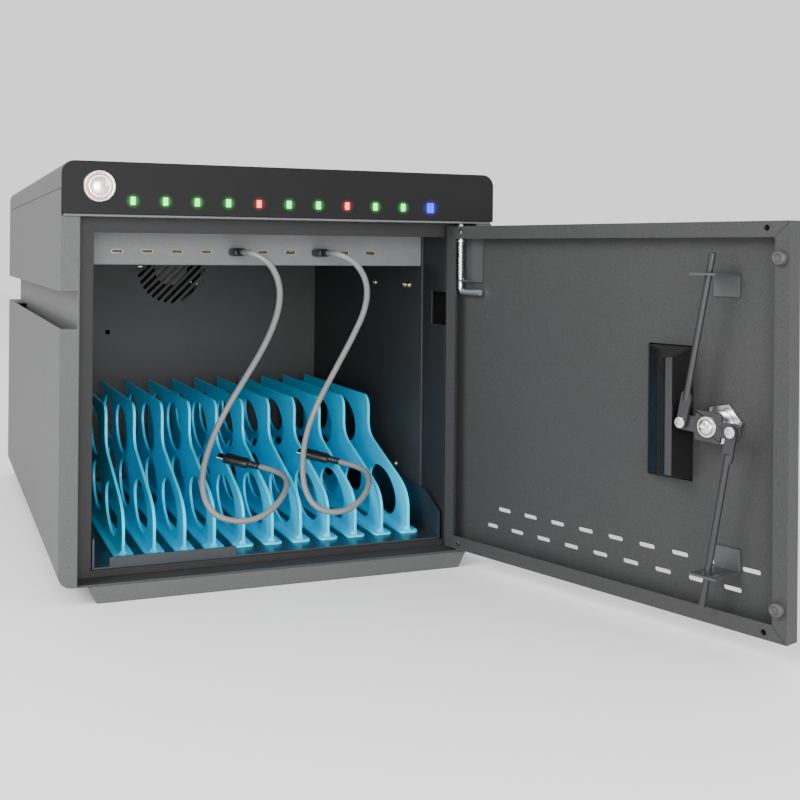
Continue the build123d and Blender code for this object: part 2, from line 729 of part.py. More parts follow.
# Door panel: a tray of folded sheet with mitred lips, two rows of vents and the cut-outs for pull and lock
door_middle = (door_bottom + door_top) / 2
door_height = door_top - door_bottom
vent_pitch = 28.1
vent_length = 14.0
vent_width = 3.2
vent_count = 9
pull_centre = (218.5, 152.0)
pull_opening = (37.0, 93.0)
pull_crest = 27.0
lock_at = (263.5, 148.0)
lock_diameter = 19.0
corner_hole_inset = 16.5
corner_hole_radius = 2.0
upper_vents = (58.3, 54.0)
lower_vents = (44.2, 39.3)
with BuildPart() as door_panel:
    with BuildSketch(at_door(0)):
        with Locations((door_width / 2, door_middle)):
            Rectangle(door_width, door_height)
    extrude(amount=door_thickness)
    for s in (0, door_width):
        corner = at_door(0).from_local_coords((s, door_middle, 0))
        fillet(door_panel.edges().filter_by(Axis.Z).sort_by_distance(corner)[0], 1.2)
    with BuildSketch(at_door(sheet)):
        with Locations((door_width / 2, door_middle)):
            Rectangle(door_width - 2 * sheet, door_height - 2 * sheet)
    extrude(amount=door_thickness - 2 * sheet, mode=Mode.SUBTRACT)
    with BuildSketch(at_door(door_thickness - sheet)):
        with Locations((door_width / 2, door_middle)):
            Rectangle(door_width - 2 * door_lip, door_height - 2 * door_lip)
    extrude(amount=sheet, mode=Mode.SUBTRACT)
    with BuildSketch(at_door(0)):
        for index in range(vent_count):
            with Locations((upper_vents[0] + index * vent_pitch, upper_vents[1]),
                           (lower_vents[0] + index * vent_pitch, lower_vents[1])):
                SlotOverall(vent_length, vent_width)
        with Locations(pull_centre):
            Rectangle(*pull_opening)
        with Locations(lock_at):
            Circle(lock_diameter / 2)
    extrude(amount=sheet, mode=Mode.SUBTRACT)
    with BuildSketch(at_door(door_thickness - sheet)):
        for s in (corner_hole_inset, door_width - corner_hole_inset):
            for z in (door_bottom + 4.5, door_top - 4.5):
                with Locations((s, z)):
                    Circle(corner_hole_radius)
    extrude(amount=sheet, mode=Mode.SUBTRACT)
    with Locations((hinge_x, hinge_y, door_middle)):
        Cylinder(pin_diameter / 2 + pin_clearance, door_height + 2, mode=Mode.SUBTRACT)
pieces["door_panel"] = door_panel

# Rubber bumpers on the lip at the free side
bumper_places = ((door_width - 6.2, 259.2), (door_width - 6.2, 37.7))
bumper_radius = 4.6
bumper_height = 4.7
with BuildPart() as door_bumpers:
    with BuildSketch(at_door(door_thickness)):
        with Locations(*bumper_places):
            Circle(bumper_radius)
    extrude(amount=bumper_height)
    fillet(door_bumpers.edges().group_by(door_axis)[-1], 1.0)
pieces["door_bumpers"] = door_bumpers


def cup_profile(drop):
    """S-shaped section of the pull across the door, sunk by the drop."""
    s0 = pull_centre[0] - pull_opening[0] / 2 + 0.3
    s1 = pull_centre[0] + pull_opening[0] / 2 - 0.3
    foot = -0.5 - drop
    step = 2.5 - drop
    crest = pull_crest - drop
    with BuildLine() as outline:
        Line((s0, foot), (s0, step))
        Spline((s0, step), (s0 + 9, step + 6), (s1 - 13, step + 16.5), (s1 - 4, crest),
               tangents=((0.4, 1), (1, 0.25)))
        Line((s1 - 4, crest), (s1, crest - 2))
        Polyline((s1, crest - 2), (s1, foot), (s0, foot))
    return outline.edges()


# Recessed pull: a moulded cup that bulges into the cabinet, open to the outside
cup_wall = 1.8
cup_drop = 2.4
cup_flange = 5.0
cup_flange_thickness = 1.55
cup_bottom = pull_centre[1] - pull_opening[1] / 2 + 0.3
cup_top = pull_centre[1] + pull_opening[1] / 2 - 0.3
cup_section = Plane(origin=door_plane.origin, x_dir=(*along, 0), z_dir=(0, 0, -1))
with BuildPart() as pull_cup:
    with BuildSketch(cup_section.offset(-cup_top)):
        make_face(cup_profile(0))
    extrude(amount=cup_top - cup_bottom)
    with BuildSketch(at_door(-1.6)):
        with Locations(pull_centre):
            RectangleRounded(pull_opening[0] + 2 * cup_flange, pull_opening[1] + 2 * cup_flange, 6)
    extrude(amount=cup_flange_thickness)
    with BuildSketch(cup_section.offset(-cup_top + cup_wall)):
        make_face(cup_profile(cup_drop))
        with Locations((pull_centre[0], 0)):
            Rectangle(pull_opening[0] - 0.6 - 2 * cup_wall, 4 * pull_crest, mode=Mode.INTERSECT)
    extrude(amount=cup_top - cup_bottom - 2 * cup_wall, mode=Mode.SUBTRACT)
pieces["pull_cup"] = pull_cup

# Lock: cylinder through the door with a hex nut inside
cam_height = 21.0
lock_head_radius = 13.0
lock_head_height = 3.1
keyway = (1.6, 7.5)
nut_radius = 14.5
nut_height = 4.5
with BuildPart() as lock_cylinder:
    with BuildSketch(at_door(-3.2)):
        with Locations(lock_at):
            Circle(lock_head_radius)
    extrude(amount=lock_head_height)
    with BuildSketch(at_door(-0.2)):
        with Locations(lock_at):
            Circle(lock_diameter / 2 - 0.15)
    extrude(amount=cam_height - 2.2 + 0.2)
    with BuildSketch(at_door(-3.3)):
        with Locations(lock_at):
            Rectangle(*keyway)
    extrude(amount=9.0, mode=Mode.SUBTRACT)
pieces["lock_cylinder"] = lock_cylinder

with BuildPart() as lock_nut:
    with BuildSketch(at_door(sheet + 0.05)):
        with Locations(lock_at):
            RegularPolygon(nut_radius, 6, rotation=12)
            Circle(lock_diameter / 2, mode=Mode.SUBTRACT)
    extrude(amount=nut_height)
pieces["lock_nut"] = lock_nut

# Lock cam: an arm to each side of a square hub, a rod pinned at each end; the key turns it a quarter turn
rod_circle = 19.2
cam_tilt = radians(-3.0)
pin_left = (lock_at[0] - rod_circle * cos(cam_tilt), lock_at[1] - rod_circle * sin(cam_tilt))
pin_right = (lock_at[0] + rod_circle * cos(cam_tilt), lock_at[1] + rod_circle * sin(cam_tilt))
rivet_diameter = 4.0
with BuildPart() as lock_cam:
    with BuildSketch(at_door(cam_height)):
        with Locations(Location((lock_at[0], lock_at[1], 0), (0, 0, degrees(cam_tilt)))):
            SlotCenterToCenter(2 * rod_circle, 10.5)
            RectangleRounded(20, 20, 2)
        with Locations(pin_left, pin_right):
            Circle(rivet_diameter / 2, mode=Mode.SUBTRACT)
        with Locations(lock_at):
            Circle(3.0, mode=Mode.SUBTRACT)
    extrude(amount=2.0)
    with BuildSketch(at_door(cam_height - 2.0 + 0.05)):
        with Locations(Location((lock_at[0], lock_at[1], 0), (0, 0, degrees(cam_tilt)))):
            Rectangle(12, 12)
        with Locations(lock_at):
            Circle(3.0, mode=Mode.SUBTRACT)
    extrude(amount=1.95)
pieces["lock_cam"] = lock_cam

with BuildPart() as cam_screw:
    with BuildSketch(at_door(cam_height - 1.9)):
        with Locations(lock_at):
            Circle(2.95)
    extrude(amount=4.1)
    with BuildSketch(at_door(cam_height + 2.05)):
        with Locations(lock_at):
            Circle(7.0)
    extrude(amount=1.2)
    with BuildSketch(at_door(cam_height + 3.25)):
        with Locations(lock_at):
            Circle(5.4)
    extrude(amount=3.0)
    fillet(cam_screw.edges().group_by(door_axis)[-1], 1.4)
pieces["cam_screw"] = cam_screw

rod_height = cam_height + 2.2
rod_plate = 2.0
with BuildPart() as rod_rivets:
    for place in (pin_left, pin_right):
        with BuildSketch(at_door(cam_height - 1.2)):
            with Locations(place):
                Circle(3.4)
        extrude(amount=1.15)
        with BuildSketch(at_door(cam_height - 0.05)):
            with Locations(place):
                Circle(rivet_diameter / 2 - 0.05)
        extrude(amount=4.6)
        with BuildSketch(at_door(rod_height + rod_plate + 0.2)):
            with Locations(place):
                Circle(3.7)
        extrude(amount=1.8)
pieces["rod_rivets"] = rod_rivets

# Locking rods: round bars with a flattened eye on the cam's pin
rod_diameter = 4.5
upper_tip = (267.3, 262.5)
lower_tip = (261.1, 29.5)


def locking_rod(pin, tip):
    """A rod from the eye on its pin to its tip."""
    length = hypot(tip[0] - pin[0], tip[1] - pin[1])
    heading = degrees(atan2(tip[1] - pin[1], tip[0] - pin[0]))
    with BuildPart() as rod:
        with BuildSketch(at_door(rod_height)):
            with Locations(Location((pin[0], pin[1], 0), (0, 0, heading))):
                with Locations((9, 0)):
                    SlotOverall(25.6, 7.6)
                Circle(rivet_diameter / 2 + 0.1, mode=Mode.SUBTRACT)
        extrude(amount=rod_plate)
        unit = ((tip[0] - pin[0]) / length, (tip[1] - pin[1]) / length)
        start = (pin[0] + 15 * unit[0], pin[1] + 15 * unit[1])
        middle = rod_height + rod_plate / 2
        begin = at_door(middle).from_local_coords((start[0], start[1], 0))
        finish = at_door(middle).from_local_coords((tip[0], tip[1], 0))
        with BuildSketch(Plane(origin=begin, z_dir=(finish - begin).normalized())):
            Circle(rod_diameter / 2)
        extrude(amount=(finish - begin).length)
        fillet(rod.edges().filter_by(GeomType.CIRCLE).sort_by_distance(finish)[0], 1.0)
    return rod


upper_rod = locking_rod(pin_left, upper_tip)
pieces["upper_rod"] = upper_rod
lower_rod = locking_rod(pin_right, lower_tip)
pieces["lower_rod"] = lower_rod

# Rod guides: a bent tab with a wide slot at each end of the lock gear
guide_reach = rod_height + 7.5
with BuildPart() as rod_guides:
    for z_tab, z_foot, s_slot in ((247.5, 233.0, 263.5), (52.0, 66.5, 265.5)):
        turn = 1 if z_tab > z_foot else -1
        low = min(z_tab, z_tab + turn * sheet)
        door_block(s_slot - 10, s_slot + 10, min(low, z_foot), max(low + sheet, z_foot),
                   sheet + 0.05, 2 * sheet + 0.05)
        door_block(s_slot - 10, s_slot + 10, low, low + sheet, sheet + 0.05, guide_reach)
        door_block(s_slot - 6.7, s_slot + 6.7, low - 1, low + sheet + 1, rod_height - 2.2, rod_height + 4.2,
                   mode=Mode.SUBTRACT)
pieces["rod_guides"] = rod_guides

# Upper hinge: a bracket on the door, and an L-shaped pin that a spring holds up in the head
bracket_low = 237.0
bracket_high = 275.0
with BuildPart() as hinge_bracket:
    door_block(20, 33, bracket_low, bracket_high, sheet + 0.05, sheet + 2.0)
    for z in (bracket_low, bracket_high - 1.5):
        door_block(hinge_inset - 4.5, 22, z, z + 1.5, sheet + 0.05, 9.5)
    with Locations((hinge_x, hinge_y, (bracket_low + bracket_high) / 2)):
        Cylinder(pin_diameter / 2 + 0.1, bracket_high, mode=Mode.SUBTRACT)
pieces["hinge_bracket"] = hinge_bracket

handle_z = 228.5
pin_top = head_bottom + 5.0
collar_z = 270.0
arm_length = 24.0
bend_radius = 4.0
with BuildPart() as hinge_pin:
    arm_end = at_door(hinge_depth).from_local_coords((hinge_inset + arm_length, handle_z, 0))
    with BuildLine() as route:
        turn_start = Vector(hinge_x, hinge_y, handle_z + bend_radius)
        turn_end = at_door(hinge_depth).from_local_coords((hinge_inset + bend_radius, handle_z, 0))
        Line((hinge_x, hinge_y, pin_top), turn_start)
        TangentArc(turn_start, turn_end, tangent=(0, 0, -1))
        Line(turn_end, arm_end)
    with BuildSketch(Plane(origin=(hinge_x, hinge_y, pin_top), z_dir=(0, 0, -1))):
        Circle(pin_diameter / 2 - 0.03)
    sweep(path=route.wires()[0])
    with Locations((hinge_x, hinge_y, collar_z + 0.75)):
        Cylinder(3.8, 1.5)
    chamfer(hinge_pin.edges().group_by(Axis.Z)[-1], 0.8)
pieces["hinge_pin"] = hinge_pin

# Hinge spring: twelve open coils between the bracket's lower tab and the collar on the pin
coil_radius = 3.35
coil_wire = 0.9
coil_turns = 12
coil_bottom = bracket_low + 1.5 + coil_wire / 2 + 0.15
coil_top = collar_z - coil_wire / 2 - 0.15
coil_pitch = (coil_top - coil_bottom) / coil_turns
quarter = pi / 2


def coil_point(turned):
    """Point on the coil's centre line after this angle."""
    return Vector(hinge_x + coil_radius * cos(turned), hinge_y + coil_radius * sin(turned),
                  coil_bottom + coil_pitch * turned / (2 * pi))


def coil_tangent(turned):
    """Direction of the coil's centre line after this angle."""
    rise = coil_pitch / (2 * pi)
    return Vector(-coil_radius * sin(turned), coil_radius * cos(turned), rise).normalized()


with BuildPart() as hinge_spring:
    with BuildLine() as coil:
        for step in range(4 * coil_turns):
            start, finish = coil_point(step * quarter), coil_point((step + 1) * quarter)
            leaving, arriving = coil_tangent(step * quarter), coil_tangent((step + 1) * quarter)
            chord = finish - start
            reach = leaving + arriving
            spread = 2 * (1 - leaving.dot(arriving))
            arm = (sqrt(chord.dot(reach) ** 2 + spread * chord.dot(chord)) - chord.dot(reach)) / spread
            joint = (start + leaving * arm + finish - arriving * arm) * 0.5
            first = TangentArc(start, joint, tangent=leaving)
            TangentArc(joint, finish, tangent=first % 1)
    with BuildSketch(Plane(origin=coil_point(0), z_dir=coil_tangent(0))):
        Circle(coil_wire / 2, align=Align.CENTER)
    sweep(path=coil.wires()[0])
print("spring: least gap between coils", round(coil_pitch - coil_wire, 2))
pieces["hinge_spring"] = hinge_spring

# Lower hinge pin: a stud in the cabinet floor with a plain washer face under the door
with BuildPart() as lower_hinge_pin:
    with Locations((hinge_x, hinge_y, floor_z)):
        Cylinder(pin_diameter / 2 - 0.03, door_bottom + 6 - floor_z,
                 align=(Align.CENTER, Align.CENTER, Align.MIN))
    with Locations((hinge_x, hinge_y, floor_top + 0.05)):
        Cylinder(4.5, door_bottom - floor_top - 0.35, align=(Align.CENTER, Align.CENTER, Align.MIN))
pieces["lower_hinge_pin"] = lower_hinge_pin

# Charging leads: each hangs from its port in a loop, its free plug laid across two divider fins
plug_body = (22.0, 11.0, 6.6)
shell_size = (8.3, 2.5)
shell_length = 6.4
relief_length = 10.0
relief_end = 3.2
port_plug_length = 17.0
port_relief = 11.0
plug_lift = 0.3
plug_corner = 2.6
port_plug_gap = 0.6
slope = atan2(fin_slope, 1)
fan_out = radians(35)
rest_across = first_divider + 4.32 * divider_pitch
rest_back = 100.0
rest_up = fin_rest_height + (rest_back - fin_rest_front) * fin_slope


def free_plug_plane(shift):
    """Plane at the middle of a free plug: X along the plug to its tip, Z up off the fins."""
    tip = (-cos(fan_out), sin(fan_out) * cos(slope), sin(fan_out) * sin(slope))
    up = (0, -sin(slope), cos(slope))
    centre = Vector(across(rest_across + shift), back(rest_back), rest_up)
    centre += Vector(*up) * (plug_body[2] / 2 + plug_lift)
    return Plane(origin=centre, x_dir=tip, z_dir=up)


def port_plug(index):
    """Overmoulded plug in its port, with the tapered strain relief towards the front."""
    x = across(first_port + (index - 1) * port_pitch)
    face = port_panel_y - port_plug_gap
    with BuildPart() as plug:
        with BuildSketch(Plane.XZ.offset(-back(face))):
            with Locations((x, port_height)):
                RectangleRounded(plug_body[1], plug_body[2], plug_corner)
        extrude(amount=port_plug_length)
        with BuildSketch(Plane.XZ.offset(-back(face - port_plug_length))):
            with Locations((x, port_height)):
                Circle(3.1)
        with BuildSketch(Plane.XZ.offset(-back(face - port_plug_length - port_relief))):
            with Locations((x, port_height)):
                Circle(cable_diameter / 2 + 0.1)
        loft()
    return plug


def free_plug(shift):
    """Free plug of a lead, resting on the fins, with its strain relief."""
    place = free_plug_plane(shift)
    half = plug_body[0] / 2
    with BuildPart() as plug:
        front_end = Plane(origin=place.from_local_coords((half, 0, 0)), x_dir=place.y_dir, z_dir=-place.x_dir)
        with BuildSketch(front_end):
            RectangleRounded(plug_body[1], plug_body[2], plug_corner)
        extrude(amount=plug_body[0])
        back_end = Plane(origin=place.from_local_coords((-half, 0, 0)), x_dir=place.y_dir, z_dir=-place.x_dir)
        with BuildSketch(back_end):
            Circle(relief_end)
        with BuildSketch(back_end.offset(relief_length)):
            Circle(cable_diameter / 2 + 0.1)
        loft()
    return plug


lead_shift = (lead_ports[1] - lead_ports[0]) * divider_pitch
for name, port, shift in (("lead_a", lead_ports[0], 0), ("lead_b", lead_ports[1], lead_shift)):
    with BuildPart() as plugs:
        add(port_plug(port).part)
        add(free_plug(shift).part)
    pieces[f"{name}_plugs"] = plugs
    place = free_plug_plane(shift)
    socket_spot = (across(first_port + (port - 1) * port_pitch), port_height)
    with BuildPart() as shells:
        with BuildSketch(Plane.XZ.offset(-back(port_panel_y - port_plug_gap))):
            with Locations(socket_spot):
                SlotOverall(*shell_size)
        extrude(amount=-shell_length)
        with BuildSketch(Plane(origin=place.from_local_coords((plug_body[0] / 2, 0, 0)),
                               x_dir=place.y_dir, z_dir=place.x_dir)):
            SlotOverall(*shell_size)
            SlotOverall(shell_size[0] - 0.8, shell_size[1] - 0.8, mode=Mode.SUBTRACT)
        extrude(amount=shell_length)
    pieces[f"{name}_shells"] = shells


def cable(name, points):
    """A cable along straight runs joined by the largest arcs that the runs allow."""
    spots = [Vector(across(x), back(y), z) for x, y, z in points]
    runs = [(b - a).length for a, b in zip(spots, spots[1:])]
    turns = [(b - a).get_angle(c - b) for a, b, c in zip(spots, spots[1:], spots[2:])]
    radii = [0.45 * min(runs[i], runs[i + 1]) / tan(radians(turns[i]) / 2) for i in range(len(turns))]
    print(name, "runs", [round(r) for r in runs], "turns", [round(t) for t in turns],
          "radii", [round(r) for r in radii])
    with BuildPart() as tube:
        with BuildLine() as path:
            FilletPolyline(*spots, radius=radii)
        start = spots[0]
        with BuildSketch(Plane(origin=start, z_dir=(spots[1] - start).normalized())):
            Circle(cable_diameter / 2)
        sweep(path=path.wires()[0])
    length = path.wires()[0].length
    print(name, "length", round(length), "volume ratio",
          round(tube.part.volume / (pi * (cable_diameter / 2) ** 2 * length), 4))
    return tube


exit_y = port_panel_y - port_plug_gap - port_plug_length - port_relief
end_local = -(plug_body[0] / 2 + relief_length)


def lead_end_point(shift, distance):
    """Point behind a free plug's strain relief, in distances from the cabinet's left, front and base."""
    spot = free_plug_plane(shift).from_local_coords((end_local - distance, 0, 0))
    return (spot.X - left, spot.Y - front, spot.Z)


lead_a_points = [
    (146.5, exit_y, 260), (146.5, 25.5, 260), (154, 20.3, 257.5), (166, 20.3, 249), (174.5, 26, 231),
    (175, 36, 209), (168, 48, 184), (156, 60, 158), (141, 67, 131), (127, 62, 106), (117.5, 51, 84),
    (115, 39.5, 66), (122, 33, 52), (137, 31, 45.5), (155, 31, 45), (171, 35, 51), (183, 43, 60),
    (190.5, 56, 66.5), (192.5, 69, 71), lead_end_point(0, 12.5), lead_end_point(0, 0)]
lead_b_points = [
    (218.5, exit_y, 260), (218.5, 25.5, 260), (226, 20.3, 257.5), (238.5, 20.3, 250.5), (249, 25, 234),
    (250.5, 34, 213), (243, 46, 188), (232, 58, 160), (219.5, 66, 132), (208.5, 63, 107), (202, 52, 85),
    (199.5, 40, 68), (204.5, 33, 54), (216.5, 31, 47), (232, 31.5, 46), (247, 36, 51.5), (258, 45, 60),
    (264, 57, 67), (265, 69, 71.5), lead_end_point(lead_shift, 12.5), lead_end_point(lead_shift, 0)]
pieces["lead_a_cable"] = cable("lead_a_cable", lead_a_points)
pieces["lead_b_cable"] = cable("lead_b_cable", lead_b_points)

for name, piece in pieces.items():
    piece.part.label = name
    export_step(piece.part, f"parts/{name}.step")
print(len(pieces), "pieces")
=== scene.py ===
"""Laptop charging station, dressed for its photograph.

Metres, +Z up, the door at the front (-Y) and open, the origin at the centre of the base underside.
"""
import math

import bmesh
import bpy
from mathutils import Matrix, Vector


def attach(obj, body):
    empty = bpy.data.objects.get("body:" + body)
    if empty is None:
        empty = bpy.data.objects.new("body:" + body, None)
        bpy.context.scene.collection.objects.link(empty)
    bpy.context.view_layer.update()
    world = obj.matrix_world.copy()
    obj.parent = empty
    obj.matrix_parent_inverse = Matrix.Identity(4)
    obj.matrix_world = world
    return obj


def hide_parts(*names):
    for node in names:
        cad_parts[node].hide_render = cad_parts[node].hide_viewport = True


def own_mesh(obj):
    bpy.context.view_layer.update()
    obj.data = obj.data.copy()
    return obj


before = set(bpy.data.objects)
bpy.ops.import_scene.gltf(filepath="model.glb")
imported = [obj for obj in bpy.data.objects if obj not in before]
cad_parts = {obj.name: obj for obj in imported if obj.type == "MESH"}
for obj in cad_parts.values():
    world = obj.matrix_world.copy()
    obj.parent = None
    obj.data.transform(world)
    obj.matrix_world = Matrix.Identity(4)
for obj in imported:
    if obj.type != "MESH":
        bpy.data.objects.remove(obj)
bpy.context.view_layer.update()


# The photograph's viewpoint: a level camera at the height of the charging ports. It stands a little over
# half a metre in front of the open door, to the left of the cabinet, and is turned right.
camera_data = bpy.data.cameras.new("camera")
camera_data.lens = 51.9
camera_data.shift_x = 0.0209
camera_data.shift_y = -0.1833
camera_data.clip_start = 0.05
camera = bpy.data.objects.new("camera", camera_data)
bpy.context.collection.objects.link(camera)
camera.location = (-0.2671, -1.1357, 0.260)
camera.rotation_euler = (math.radians(90), math.radians(-0.5), math.radians(-21.7))
bpy.context.scene.camera = camera


# A pale table top and soft studio light: one broad light high at the left, a weaker one at the right and
# one close to the lens, in a white room.
def area_light(name, place, aim, size, power):
    """A square soft light that looks at a point."""
    data = bpy.data.lights.new(name, "AREA")
    data.size = size
    data.energy = power
    light = bpy.data.objects.new(name, data)
    light.location = place
    light.rotation_euler = (Vector(aim) - Vector(place)).to_track_quat("-Z", "Y").to_euler()
    bpy.context.collection.objects.link(light)
    return light


area_light("key light", (-2.1, -0.9, 1.5), (0, 0, 0.15), 1.2, 66)
area_light("fill light", (1.5, -1.9, 1.0), (0.1, -0.3, 0.15), 1.2, 14)
area_light("front light", (-0.32, -1.9, 0.36), (0.0, 0.0, 0.10), 0.7, 25)
world = bpy.data.worlds.new("studio")
bpy.context.scene.world = world
world.use_nodes = True
white_room = world.node_tree.nodes["Background"]
white_room.inputs["Color"].default_value = (1.0, 1.0, 1.0, 1.0)
white_room.inputs["Strength"].default_value = 1.3

floor_mesh = bpy.data.meshes.new("table top")
reach = 6
floor_corners = [(-reach, -reach, 0), (reach, -reach, 0), (reach, reach, 0), (-reach, reach, 0)]
floor_mesh.from_pydata(floor_corners, [], [(0, 1, 2, 3)])
floor = bpy.data.objects.new("table top", floor_mesh)
bpy.context.collection.objects.link(floor)
floor_paint = bpy.data.materials.new("white table")
floor_paint.use_nodes = True
floor_shader = floor_paint.node_tree.nodes["Principled BSDF"]
floor_shader.inputs["Base Color"].default_value = (0.92, 0.92, 0.92, 1)
floor_shader.inputs["Roughness"].default_value = 0.6
floor_mesh.materials.append(floor_paint)


# Charging leads: two 5 mm leads with a satin light grey jacket. Each leaves its port plug straight to the
# front, drops in a bow, turns up in a loop and ends in a free plug that lies across two divider fins.
def grain_group():
    """A finish that more than one material uses: fine grain, faint clouding and a height for the bump."""
    group = bpy.data.node_groups.new("fine grain", "ShaderNodeTree")
    sides = (("INPUT", (("Color", "Color"), ("Grain per Metre", "Float"), ("Speckle", "Float"),
                        ("Clouding", "Float"), ("Roughness", "Float"))),
             ("OUTPUT", (("Color", "Color"), ("Roughness", "Float"), ("Height", "Float"))))
    for side, sockets in sides:
        for socket, kind in sockets:
            group.interface.new_socket(name=socket, in_out=side, socket_type=f"NodeSocket{kind}")
    nodes, links = group.nodes, group.links
    given = nodes.new("NodeGroupInput")
    result = nodes.new("NodeGroupOutput")
    place = nodes.new("ShaderNodeTexCoord")
    grain = nodes.new("ShaderNodeTexNoise")
    grain.inputs["Detail"].default_value = 3
    cloud = nodes.new("ShaderNodeTexNoise")
    cloud.inputs["Scale"].default_value = 11
    cloud.inputs["Detail"].default_value = 4
    links.new(place.outputs["Object"], grain.inputs["Vector"])
    links.new(place.outputs["Object"], cloud.inputs["Vector"])
    links.new(given.outputs["Grain per Metre"], grain.inputs["Scale"])

    def spread(source, amount, gain):
        """One plus the amount times how far the noise is from its middle."""
        centred = nodes.new("ShaderNodeMath")
        centred.operation = "MULTIPLY_ADD"
        centred.inputs[1].default_value = gain
        centred.inputs[2].default_value = -gain / 2
        links.new(source.outputs["Fac"], centred.inputs[0])
        scaled = nodes.new("ShaderNodeMath")
        scaled.operation = "MULTIPLY_ADD"
        scaled.inputs[2].default_value = 1.0
        links.new(centred.outputs[0], scaled.inputs[0])
        links.new(given.outputs[amount], scaled.inputs[1])
        return scaled

    speckled = spread(grain, "Speckle", 4.0)
    clouded = spread(cloud, "Clouding", 3.0)
    both = nodes.new("ShaderNodeMath")
    both.operation = "MULTIPLY"
    links.new(speckled.outputs[0], both.inputs[0])
    links.new(clouded.outputs[0], both.inputs[1])
    scaled_colour = nodes.new("ShaderNodeVectorMath")
    scaled_colour.operation = "SCALE"
    links.new(given.outputs["Color"], scaled_colour.inputs[0])
    links.new(both.outputs[0], scaled_colour.inputs["Scale"])
    links.new(scaled_colour.outputs[0], result.inputs["Color"])
    rough = nodes.new("ShaderNodeMath")
    rough.operation = "MULTIPLY"
    links.new(given.outputs["Roughness"], rough.inputs[0])
    links.new(clouded.outputs[0], rough.inputs[1])
    links.new(rough.outputs[0], result.inputs["Roughness"])
    links.new(grain.outputs["Fac"], result.inputs["Height"])
    return group


fine_grain = grain_group()


def finish(name, color, roughness, metallic=0.0, grain=900, speckle=0.1, clouding=0.06, bump=0.2,
           relief=0.00012, coat=0.0, specular=0.5):
    """A material with the fine grain over it; the relief is the height of the bump in metres."""
    paint = bpy.data.materials.new(name)
    paint.use_nodes = True
    nodes, links = paint.node_tree.nodes, paint.node_tree.links
    shader = nodes["Principled BSDF"]
    shader.inputs["Metallic"].default_value = metallic
    shader.inputs["Coat Weight"].default_value = coat
    shader.inputs["Coat Roughness"].default_value = 0.12
    shader.inputs["Specular IOR Level"].default_value = specular
    surface = nodes.new("ShaderNodeGroup")
    surface.node_tree = fine_grain
    surface.inputs["Color"].default_value = (*color, 1)
    surface.inputs["Grain per Metre"].default_value = grain
    surface.inputs["Speckle"].default_value = speckle
    surface.inputs["Clouding"].default_value = clouding
    surface.inputs["Roughness"].default_value = roughness
    links.new(surface.outputs["Color"], shader.inputs["Base Color"])
    links.new(surface.outputs["Roughness"], shader.inputs["Roughness"])
    height = nodes.new("ShaderNodeBump")
    height.inputs["Strength"].default_value = bump
    height.inputs["Distance"].default_value = relief
    links.new(surface.outputs["Height"], height.inputs["Height"])
    links.new(height.outputs["Normal"], shader.inputs["Normal"])
    return paint


def add_piece(name, mesh, paint, body):
    """Links a finished mesh as a piece with its material, slot and body."""
    piece = bpy.data.objects.new(name, mesh)
    bpy.context.collection.objects.link(piece)
    mesh.materials.clear()
    mesh.materials.append(paint)
    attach(piece, body)
    return piece


mm = 0.001
lead_diameter = 5 * mm
jacket = finish("lead jacket", (0.17, 0.17, 0.168), 0.42, grain=1400, speckle=0.05, clouding=0.12,
                bump=0.12)
first_fin = 54
bay_pitch = 24.1
tray_top = 21.5
fin_rest_front = 72
fin_rest_rise = 46
fin_slope = 0.369
plug_depth = 100.0
plug_rest = (first_fin + 4.32 * bay_pitch, plug_depth,
             tray_top + fin_rest_rise + (plug_depth - fin_rest_front) * fin_slope)
plug_length = 22.0
plug_height = 6.6
relief_length = 10.0
fan_out = math.radians(35)
tilt = math.atan(fin_slope)
plug_tip = Vector((-math.cos(fan_out), math.sin(fan_out) * math.cos(tilt),
                   math.sin(fan_out) * math.sin(tilt)))
plug_up = Vector((0, -math.sin(tilt), math.cos(tilt)))


def free_plug_place(shift):
    """Centre of a free plug, in millimetres from the cabinet's left, front and base."""
    return Vector(plug_rest) + Vector((shift, 0, 0)) + plug_up * (plug_height / 2 + 0.3)


def behind_plug(shift, distance):
    """A point behind a free plug's strain relief."""
    return tuple(free_plug_place(shift) - plug_tip * (plug_length / 2 + relief_length + distance))


exit_y = 37.4
port_height = 260
lead_ports = {"lead_a": 146.5, "lead_b": 218.5}
lead_shifts = {"lead_a": 0, "lead_b": 3 * bay_pitch}
lead_routes = {
    "lead_a": [
        (146.5, exit_y, port_height), (146.5, 25.5, port_height), (154, 20.3, 257.5), (166, 20.3, 249),
        (174.5, 26, 231), (175, 36, 209), (168, 48, 184), (156, 60, 158), (141, 67, 131), (127, 62, 106),
        (117.5, 51, 84),
        (115, 39.5, 66), (122, 33, 52), (137, 31, 45.5), (155, 31, 45), (171, 35, 51), (183, 43, 60),
        (190.5, 56, 66.5), (192.5, 69, 71), behind_plug(lead_shifts["lead_a"], 12.5),
        behind_plug(lead_shifts["lead_a"], 0)],
    "lead_b": [
        (218.5, exit_y, port_height), (218.5, 25.5, port_height), (226, 20.3, 257.5), (238.5, 20.3, 250.5),
        (249, 25, 234), (250.5, 34, 213), (243, 46, 188), (232, 58, 160), (219.5, 66, 132), (208.5, 63, 107),
        (202, 52, 85),
        (199.5, 40, 68), (204.5, 33, 54), (216.5, 31, 47), (232, 31.5, 46), (247, 36, 51.5), (258, 45, 60),
        (264, 57, 67), (265, 69, 71.5), behind_plug(lead_shifts["lead_b"], 12.5),
        behind_plug(lead_shifts["lead_b"], 0)],
}


cabinet_left = -175 * mm
cabinet_front = -270 * mm


def here(point):
    """A point given in millimetres from the cabinet's left, front and base, in the frame's metres."""
    return Vector((cabinet_left + point[0] * mm, cabinet_front + point[1] * mm, point[2] * mm))


